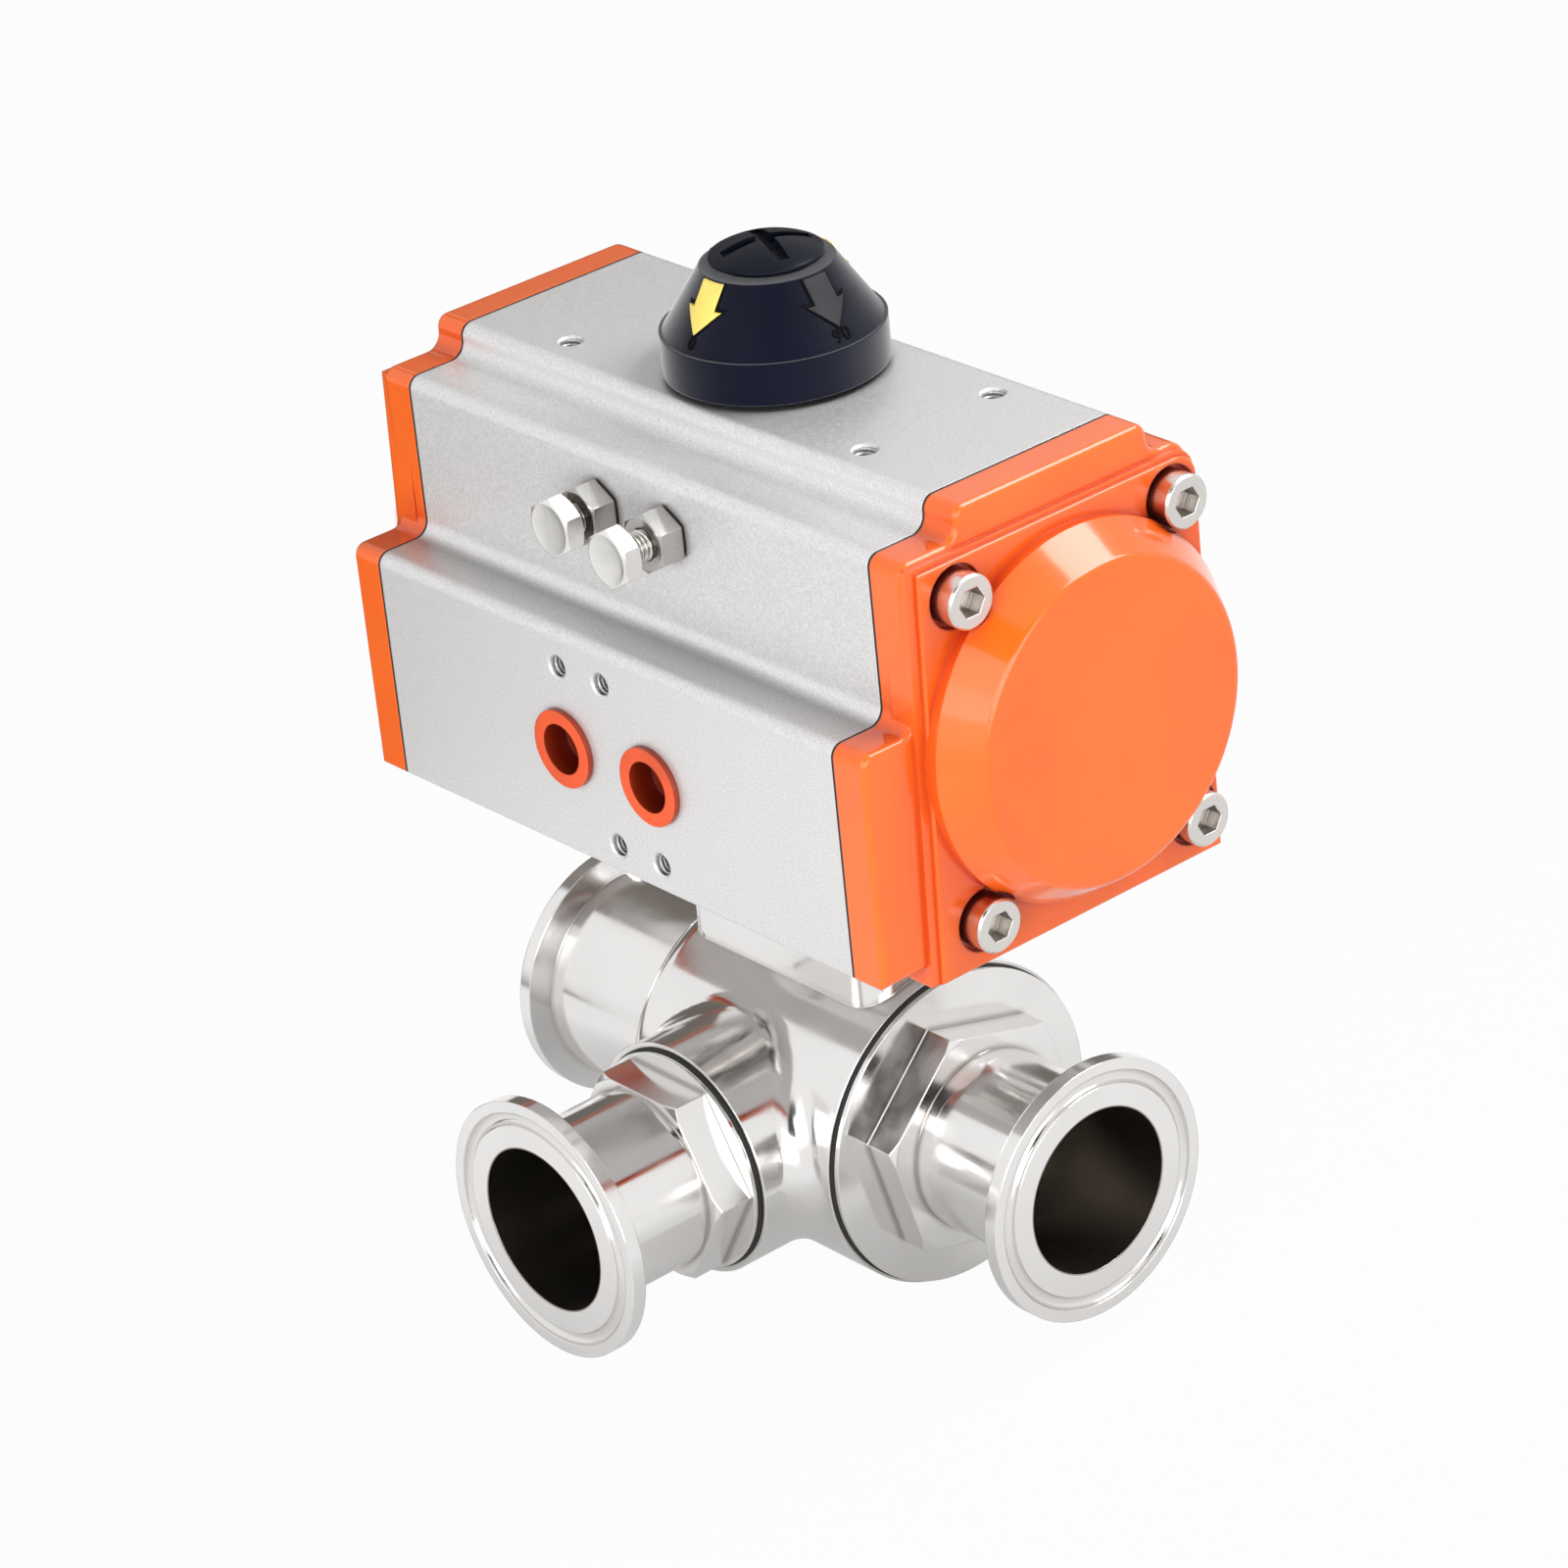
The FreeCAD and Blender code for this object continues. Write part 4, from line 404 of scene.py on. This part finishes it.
FINISHES = {
    "anodised_aluminium": aluminium,
    "orange_paint": orange_paint,
    "polished_stainless": polished,
    "stainless_hardware": hardware,
    "machined_steel": machined,
    "cast_aluminium": cast,
    "orange_plastic": orange_plastic,
    "black_plastic": black_plastic,
    "yellow_plastic": yellow_plastic,
    "black_rubber": rubber,
    "white_polymer": polymer,
}
for row in frame["record"]["subparts"]:
    for place in nodes[row["node"]].material_slots:
        place.material = FINISHES[row["material_slot"]]


OWN_FINISHES = {
    "indicator_arrows_black": arrow_black,
    "stop_lock_nuts": nut_steel,
    "cap_screws_right": screw_steel,
    "cap_screws_left": screw_steel,
}
for name, finish in OWN_FINISHES.items():
    for place in nodes[name].material_slots:
        place.material = finish


# Indicator: cone, knob, painted shadow lips round the arrows, and numbers
CONE_BASE = (19.8, 9.0)
CONE_TOP = (12.2, 20.6)
CONE_RUN = math.hypot(CONE_TOP[0] - CONE_BASE[0], CONE_TOP[1] - CONE_BASE[1])
CONE_IN = (CONE_TOP[0] - CONE_BASE[0]) / CONE_RUN
CONE_UP = (CONE_TOP[1] - CONE_BASE[1]) / CONE_RUN
KNOB_RIM = (
    (0, 19.4), (7.5, 19.4), (7.5, 20.65), (9.0, 20.65), (9.0, 21.25), (10.05, 21.3), (10.3, 21.42),
    (10.4, 21.65), (10.4, 21.95), (10.3, 22.15), (10.1, 22.3),
)
DOME_RADIUS, DOME_FOOT = KNOB_RIM[-1]
DOME_HEIGHT = 2.6
DOME_STEPS = 14
SLOT_LENGTH = 16.6
SLOT_WIDTH = 2.6
SLOT_FLOOR = 22.6
SLOT_STEP = 0.02
SLOT_TOP = 27.0
SLOT_TURN = math.radians(-20)
ARROW_TIP = 12.2
ARROW_LENGTH = 8.2
ARROW_HEAD_LENGTH = 4.0
ARROW_HEAD_WIDTH = 8.2
ARROW_STEM_WIDTH = 5.0
TIP_GROWTH = 1.4
BARB_GROWTH = 1.6
# The arrows' painted shadow lips: how far each ring is grown and how far proud of the cone
ARROW_SHADOW_LIP = ((0.02, -0.3), (0.02, 0.10), (0.55, 0.06), (0.55, -0.3))
NUMBER_SIZE = 3.5
NUMBER_HEIGHT = 9.85
NUMBER_DEPTH = 0.16
NUMBER_BEVEL = 0.09
NUMBER_SPACING = 1.15


def on_cone(azimuth, across, height, proud):
    """A point on the indicator's cone, by its width and height as seen from outside."""
    radius = CONE_BASE[0] + (height - CONE_BASE[1]) * CONE_IN / CONE_UP
    turn = azimuth + math.asin(across / radius)
    return around(radius + proud * CONE_UP, turn, height - proud * CONE_IN)


def make_knob():
    """The domed cap with a rim over a dark gap."""
    profile = list(KNOB_RIM)
    ball = (DOME_RADIUS ** 2 + DOME_HEIGHT ** 2) / (2 * DOME_HEIGHT)
    for i in range(1, DOME_STEPS + 1):
        radius = DOME_RADIUS * (1 - i / DOME_STEPS)
        profile.append((radius, DOME_FOOT + DOME_HEIGHT - ball + math.sqrt(ball ** 2 - radius ** 2)))
    return lathe(profile, 128)


def make_slot_cutter():
    """Two crossed bars, one a little lower than the other, for the coin slot."""
    bm = bmesh.new()
    for wide, deep, floor in (
        (SLOT_LENGTH, SLOT_WIDTH, SLOT_FLOOR), (SLOT_WIDTH, SLOT_LENGTH, SLOT_FLOOR + SLOT_STEP)
    ):
        block = bmesh.ops.create_cube(bm, size=1.0)["verts"]
        bmesh.ops.scale(bm, vec=(wide, deep, SLOT_TOP - floor), verts=block)
        bmesh.ops.translate(bm, vec=(0, 0, (SLOT_TOP + floor) / 2), verts=block)
    bmesh.ops.rotate(bm, verts=bm.verts, matrix=Matrix.Rotation(SLOT_TURN, 3, "Z"))
    return bm


def subtract(bm, cutter_bm):
    """Cuts one closed mesh out of another."""
    objects = []
    for name, source in (("blank", bm), ("cutter", cutter_bm)):
        mesh = bpy.data.meshes.new(name)
        bmesh.ops.recalc_face_normals(source, faces=source.faces)
        source.to_mesh(mesh)
        source.free()
        objects.append(bpy.data.objects.new(name, mesh))
        scene.collection.objects.link(objects[-1])
    blank, cutter = objects
    modifier = blank.modifiers.new("cut", "BOOLEAN")
    modifier.operation = "DIFFERENCE"
    modifier.solver = "EXACT"
    modifier.use_self = True
    modifier.object = cutter
    result = bmesh.new()
    result.from_object(blank, bpy.context.evaluated_depsgraph_get())
    for item in objects:
        bpy.data.objects.remove(item)
    return result


knob = finish_mesh(
    "knob", subtract(make_knob(), make_slot_cutter()), knob_black, "shaft", sharp=40.0,
)
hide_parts("indicator_knob")


def arrow_outline(grown):
    """The arrow's corners, moved outward by a width."""
    tip = ARROW_TIP - grown * TIP_GROWTH
    barb = ARROW_TIP + ARROW_HEAD_LENGTH + grown
    head = ARROW_HEAD_WIDTH / 2 + grown * BARB_GROWTH
    stem = ARROW_STEM_WIDTH / 2 + grown
    top = ARROW_TIP + ARROW_LENGTH
    return [(0, tip), (head, barb), (stem, barb), (stem, top), (-stem, top), (-stem, barb), (-head, barb)]


def fine_steps(points, count=6):
    """Splits each side of a closed outline so that it can follow the cone."""
    result = []
    for (u0, v0), (u1, v1) in zip(points, points[1:] + points[:1]):
        result += [(u0 + (u1 - u0) * i / count, v0 + (v1 - v0) * i / count) for i in range(count)]
    return result


def make_arrow_shadow_lip():
    """A thin black lip round each arrow: painted shadow for the gap of its recess."""
    bm = bmesh.new()
    for quarter in range(4):
        azimuth = quarter * math.pi / 2
        rings = []
        for grown, proud in ARROW_SHADOW_LIP:
            points = fine_steps(arrow_outline(grown))
            rings.append([bm.verts.new(on_cone(azimuth, u, v, proud)) for u, v in points])
        bridge(bm, rings + rings[:1], closed_ends=False)
    return bm


finish_mesh("arrow_shadow_lip", make_arrow_shadow_lip(), numbers_and_shadow_black, "shaft")


def make_numbers():
    """Generic numbers under the arrows: 0 under two of them and 90 under the others."""
    result = bmesh.new()
    for words, quarter in (("90", 0), ("0", 1), ("90", 2), ("0", 3)):
        data = bpy.data.curves.new("digits", "FONT")
        data.body = words
        data.size = NUMBER_SIZE
        data.align_x = "CENTER"
        data.extrude = NUMBER_DEPTH
        data.bevel_depth = NUMBER_BEVEL
        data.space_character = NUMBER_SPACING
        holder = bpy.data.objects.new("digits", data)
        mesh = bpy.data.meshes.new_from_object(holder)
        bm = bmesh.new()
        bm.from_mesh(mesh)
        for vertex in bm.verts:
            u, v, w = vertex.co
            vertex.co = on_cone(quarter * math.pi / 2, u, NUMBER_HEIGHT + v * CONE_UP, w)
        bm.to_mesh(mesh)
        bm.free()
        result.from_mesh(mesh)
        bpy.data.objects.remove(holder)
        bpy.data.meshes.remove(mesh)
    return result


finish_mesh("indicator_numbers", make_numbers(), numbers_and_shadow_black, "shaft")


# Travel stop bolts and threads; the bolts' rings are radii and depths behind the head's front
STOP_X = 9.2
STOP_Z = -16.9
STOP_FRONTS = {"right": (1, 49.7), "left": (-1, 47.6)}
STOP_HEAD_ACROSS = 10.0
STOP_HEAD_HEIGHT = 4.0
STOP_DISH = ((4.3, 0.04), (3.2, 0.10), (0.6, 0.10))
STOP_SHANK = ((1.9, 37.0), (2.45, 36.4), (2.45, STOP_HEAD_HEIGHT))
HEX_SEGMENTS = 72
HEX_FIRST_CORNER = math.radians(30)
CHAMFER_SHARE = 0.96
CHAMFER_ANGLE = math.radians(30)
AIR_FACE_Y = -47.5
AIR_FACE_Z = -60.5


def facing_front(x, y, z):
    """A frame whose Z axis points out of the front, along -Y."""
    return Matrix.Translation((x, y, z)) @ Matrix.Rotation(math.radians(90), 4, "X")


def hex_rings(bm, across, low, high, matrix):
    """A hexagon head with both rims turned to a cone."""
    rings = [[], [], [], []]
    for angle in turn_angles(HEX_SEGMENTS):
        folded = (angle - HEX_FIRST_CORNER) % (math.pi / 3) - math.pi / 6
        side = across / 2 / math.cos(folded)
        turned = across / 2 * CHAMFER_SHARE
        drop = (side - turned) * math.tan(CHAMFER_ANGLE)
        sizes = ((turned, low), (side, low + drop), (side, high - drop), (turned, high))
        for ring, (radius, level) in zip(rings, sizes):
            ring.append(bm.verts.new(matrix @ around(radius, angle, level)))
    return rings


def round_rings(bm, sizes, front, matrix):
    """Circles from their radii and their depths behind the front."""
    return [
        [bm.verts.new(matrix @ around(radius, angle, front - depth)) for angle in turn_angles(HEX_SEGMENTS)]
        for radius, depth in sizes
    ]


def make_stop_bolt(front):
    """A hexagon bolt with its shank; the head's front has a faint dish."""
    bm = bmesh.new()
    matrix = facing_front(0, 0, 0)
    head = hex_rings(bm, STOP_HEAD_ACROSS, front - STOP_HEAD_HEIGHT, front, matrix)
    dish = round_rings(bm, STOP_DISH, front, matrix)
    shank = round_rings(bm, STOP_SHANK, front, matrix)
    bridge(bm, shank + head + dish)
    return bm


for side, (sign, front) in STOP_FRONTS.items():
    shift = Vector((sign * STOP_X, 0, STOP_Z))
    bolt = make_stop_bolt(front)
    bmesh.ops.translate(bolt, vec=shift, verts=bolt.verts)
    bolt = finish_mesh(f"stop_bolt_{side}", bolt, hardware, f"{side}_stop", sharp=20.0)
    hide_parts(f"travel_stop_bolt_{side}")
    ridge = bmesh.new()
    thread(
        ridge, root=2.5, crest=2.98, pitch=1.0, start=front - 36.0, end=front - 4.2,
        matrix=Matrix.Translation(shift) @ facing_front(0, 0, 0),
    )
    finish_mesh(f"stop_thread_{side}", ridge, hardware, f"{side}_stop", sharp=20.0)


def make_hole_threads(places):
    """M5 threads in blind holes, from the mouth inward."""
    bm = bmesh.new()
    for place in places:
        thread(bm, root=2.14, crest=1.86, pitch=0.8, start=-7.6, end=-0.7, matrix=place)
    return bm


HOLE_THREADS = {
    "top_hole_threads": [Matrix.Translation((x, y, 0)) for x in (-40, 40) for y in (-15, 15)],
    "front_hole_threads": [
        facing_front(x, AIR_FACE_Y, AIR_FACE_Z + z) for x, z in ((-12, 16), (0, 16), (0, -16), (12, -16))
    ],
}
for name, places in HOLE_THREADS.items():
    finish_mesh(name, make_hole_threads(places), aluminium, "housing", sharp=20.0)


# Camera at the photograph's viewpoint: its place is right of, above and behind the point it looks at
AZIMUTH = math.radians(51.558)
ELEVATION = math.radians(26.587)
ROLL = math.radians(-5.985)
STAND = (-6.648, -0.849, 1105.727)
LOOK_AT = Vector((0, 0, -81.5))
back = Vector((
    math.sin(AZIMUTH) * math.cos(ELEVATION), -math.cos(AZIMUTH) * math.cos(ELEVATION), math.sin(ELEVATION)
))
right = Vector((math.cos(AZIMUTH), math.sin(AZIMUTH), 0))
up = back.cross(right)
image_right = right * math.cos(ROLL) + up * math.sin(ROLL)
image_up = -right * math.sin(ROLL) + up * math.cos(ROLL)
stand = right * STAND[0] + up * STAND[1] + back * STAND[2] + LOOK_AT
facing = Matrix((image_right, image_up, back)).transposed().to_4x4()
camera_data = bpy.data.cameras.new("Camera")
camera_data.lens = 138.474
camera_data.sensor_width = 36.0
camera_data.clip_start = 0.05
camera_data.clip_end = 20.0
camera = bpy.data.objects.new("Camera", camera_data)
camera.matrix_world = Matrix.Translation(stand * MM) @ facing
scene.collection.objects.link(camera)
scene.camera = camera


# Floor, world and lamps, in metres
AMBIENT = 0.20
AMBIENT_TONE = (0.97, 0.985, 1.0)
FLOOR_TONE = (0.45, 0.445, 0.44)
FLOOR_SIZE = 3.0
FLOOR_DROP = 0.0002
FLOOR_GLOW = 0.965
# Painted shade on the floor as gloss sees it: darker within these radii of the part's middle, by these glow
# shares
FLOOR_GLOSS_SHADE_RADII = (0.045, 0.125)
FLOOR_GLOSS_SHADE_SHARES = (0.35, 0.97)
PATCH_LIFT = 0.001
LAMP_TARGET = (0, 0, -0.08)


def path_value(tree, *rays):
    """Is 1 for the named kinds of rays."""
    path = tree.nodes.new("ShaderNodeLightPath")
    total = path.outputs[rays[0]]
    for ray in rays[1:]:
        node = tree.nodes.new("ShaderNodeMath")
        node.operation = "MAXIMUM"
        tree.links.new(total, node.inputs[0])
        tree.links.new(path.outputs[ray], node.inputs[1])
        total = node.outputs[0]
    return total


def mix_shaders(tree, fac, first, second):
    """Mixes two shaders by a number or by a socket."""
    mix = tree.nodes.new("ShaderNodeMixShader")
    if isinstance(fac, float):
        mix.inputs["Fac"].default_value = fac
    else:
        tree.links.new(fac, mix.inputs["Fac"])
    tree.links.new(first, mix.inputs[1])
    tree.links.new(second, mix.inputs[2])
    return mix.outputs[0]


def make_world():
    """Even studio light, and a white background for the camera and for gloss."""
    world = bpy.data.worlds.new("Studio")
    scene.world = world
    world.use_nodes = True
    tree = world.node_tree
    ambient = tree.nodes["Background"]
    ambient.inputs["Color"].default_value = (*AMBIENT_TONE, 1)
    ambient.inputs["Strength"].default_value = AMBIENT
    white = tree.nodes.new("ShaderNodeBackground")
    white.inputs["Color"].default_value = (1, 1, 1, 1)
    white.inputs["Strength"].default_value = 1.0
    seen = path_value(tree, "Is Camera Ray", "Is Glossy Ray", "Is Transmission Ray")
    shader = mix_shaders(tree, seen, ambient.outputs[0], white.outputs[0])
    tree.links.new(shader, tree.nodes["World Output"].inputs["Surface"])


def make_floor_material():
    """White to the camera with a faint shadow; gloss sees the floor with more of its shading, and painted
    shade that grows towards the part.
    """
    material = bpy.data.materials.new("FloorWhite")
    material.use_nodes = True
    tree = material.node_tree
    shader = tree.nodes["Principled BSDF"]
    shader.inputs["Base Color"].default_value = (*FLOOR_TONE, 1)
    shader.inputs["Roughness"].default_value = 0.8
    shader.inputs["Specular IOR Level"].default_value = 0.0
    glow = tree.nodes.new("ShaderNodeEmission")
    glow.inputs["Strength"].default_value = 1.0
    for_camera = mix_shaders(tree, FLOOR_GLOW, shader.outputs[0], glow.outputs[0])
    place = add_node(material, "ShaderNodeTexCoord")
    away = add_node(material, "ShaderNodeVectorMath")
    away.operation = "LENGTH"
    link(material, place.outputs["Object"], away.inputs[0])
    # Painted shade near the part, seen only in gloss
    share = ramp(material, away.outputs["Value"], *FLOOR_GLOSS_SHADE_SHARES, *FLOOR_GLOSS_SHADE_RADII)
    for_gloss = mix_shaders(tree, share, shader.outputs[0], glow.outputs[0])
    part = mix_shaders(tree, path_value(tree, "Is Glossy Ray"), shader.outputs[0], for_gloss)
    whole = mix_shaders(tree, path_value(tree, "Is Camera Ray", "Is Transmission Ray"), part, for_camera)
    tree.links.new(whole, tree.nodes["Material Output"].inputs["Surface"])
    return material


def make_dark_reflection_material(tone):
    """A dark sheet seen only in gloss: a painted dark reflection."""
    material = bpy.data.materials.new("PaintedDarkReflection")
    material.use_nodes = True
    shader = material.node_tree.nodes["Principled BSDF"]
    shader.inputs["Base Color"].default_value = (tone, tone * 0.90, tone * 0.80, 1)
    shader.inputs["Roughness"].default_value = 0.9
    shader.inputs["Specular IOR Level"].default_value = 0.0
    return material


def stage_mesh(name, bm, material, only_gloss=False):
    mesh = bpy.data.meshes.new(name)
    bm.to_mesh(mesh)
    bm.free()
    mesh.materials.append(material)
    item = bpy.data.objects.new(name, mesh)
    scene.collection.objects.link(item)
    if only_gloss:
        item.visible_camera = False
        item.visible_diffuse = False
        item.visible_transmission = False
        item.visible_shadow = False
    return item


def make_floor():
    bm = bmesh.new()
    bmesh.ops.create_grid(bm, x_segments=1, y_segments=1, size=FLOOR_SIZE)
    return bm


def make_patch(radii, azimuths, elevations, steps=24):
    """A patch of a sphere about the origin, or of the floor where elevations is None."""
    bm = bmesh.new()
    rows = []
    for j in range(steps + 1):
        share = j / steps
        row = []
        for i in range(steps + 1):
            turn = math.radians(azimuths[0] + (azimuths[1] - azimuths[0]) * i / steps)
            if elevations:
                lift = math.radians(elevations[0] + (elevations[1] - elevations[0]) * share)
                flat, height = radii[1] * math.cos(lift), radii[1] * math.sin(lift)
            else:
                flat, height = radii[0] + (radii[1] - radii[0]) * share, FLOOR_LEVEL + PATCH_LIFT
            row.append(bm.verts.new(around(flat, turn, height)))
        rows.append(row)
    for low, high in zip(rows, rows[1:]):
        for i in range(steps):
            bm.faces.new((low[i], low[i + 1], high[i + 1], high[i]))
    return bm


def make_card(low, high):
    """An upright card facing along X, between two opposite corners."""
    bm = bmesh.new()
    places = [(low[1], low[2]), (high[1], low[2]), (high[1], high[2]), (low[1], high[2])]
    bm.faces.new([bm.verts.new((low[0], y, z)) for y, z in places])
    return bm


def area_lamp(name, place, size, power, in_gloss=True):
    """A rectangular lamp that faces the middle of the part."""
    data = bpy.data.lights.new(name, "AREA")
    data.shape = "RECTANGLE"
    data.size, data.size_y = size
    data.energy = power
    lamp = bpy.data.objects.new(name, data)
    place = Vector(place)
    turned = (Vector(LAMP_TARGET) - place).to_track_quat("-Z", "Y").to_matrix().to_4x4()
    lamp.matrix_world = Matrix.Translation(place) @ turned
    lamp.visible_glossy = in_gloss
    scene.collection.objects.link(lamp)


make_world()
floor = stage_mesh("floor", make_floor(), make_floor_material())
floor.location.z = FLOOR_LEVEL - FLOOR_DROP

# Dark sheets seen only in gloss, painting dark reflections: a far screen, a piece of the floor and two cards
screen = make_patch(radii=(3.2, 3.2), azimuths=(-62, -14), elevations=(20, 56))
stage_mesh("dark_screen", screen, make_dark_reflection_material(0.030), only_gloss=True)
left_floor = make_patch(radii=(0.24, 0.80), azimuths=(-178, -141), elevations=None)
stage_mesh("dark_left", left_floor, make_dark_reflection_material(0.20), only_gloss=True)
back_card = make_card((-0.28, -0.05, -0.10), (-0.28, 0.50, 0.112))
stage_mesh("dark_back", back_card, make_dark_reflection_material(0.15), only_gloss=True)
high_card = make_card((-0.28, 0.0, 0.142), (-0.28, 0.50, 0.19))
stage_mesh("dark_high", high_card, make_dark_reflection_material(0.15), only_gloss=True)

area_lamp("LowLamp", (0.30, -0.78, -0.02), size=(0.50, 0.26), power=4.0, in_gloss=False)
area_lamp("FrontLamp", (0.25, -0.53, 0.20), size=(0.46, 0.36), power=1.1)
area_lamp("RightLamp", (1.6, -0.45, 0.20), size=(1.6, 1.0), power=16.0)
area_lamp("LeftLamp", (-1.5, 0.1, 0.0), size=(1.2, 0.8), power=11.0, in_gloss=False)
area_lamp("TopLamp", (0.285, 0.355, 0.50), size=(0.42, 0.36), power=4.2)


scene.view_settings.view_transform = "Standard"
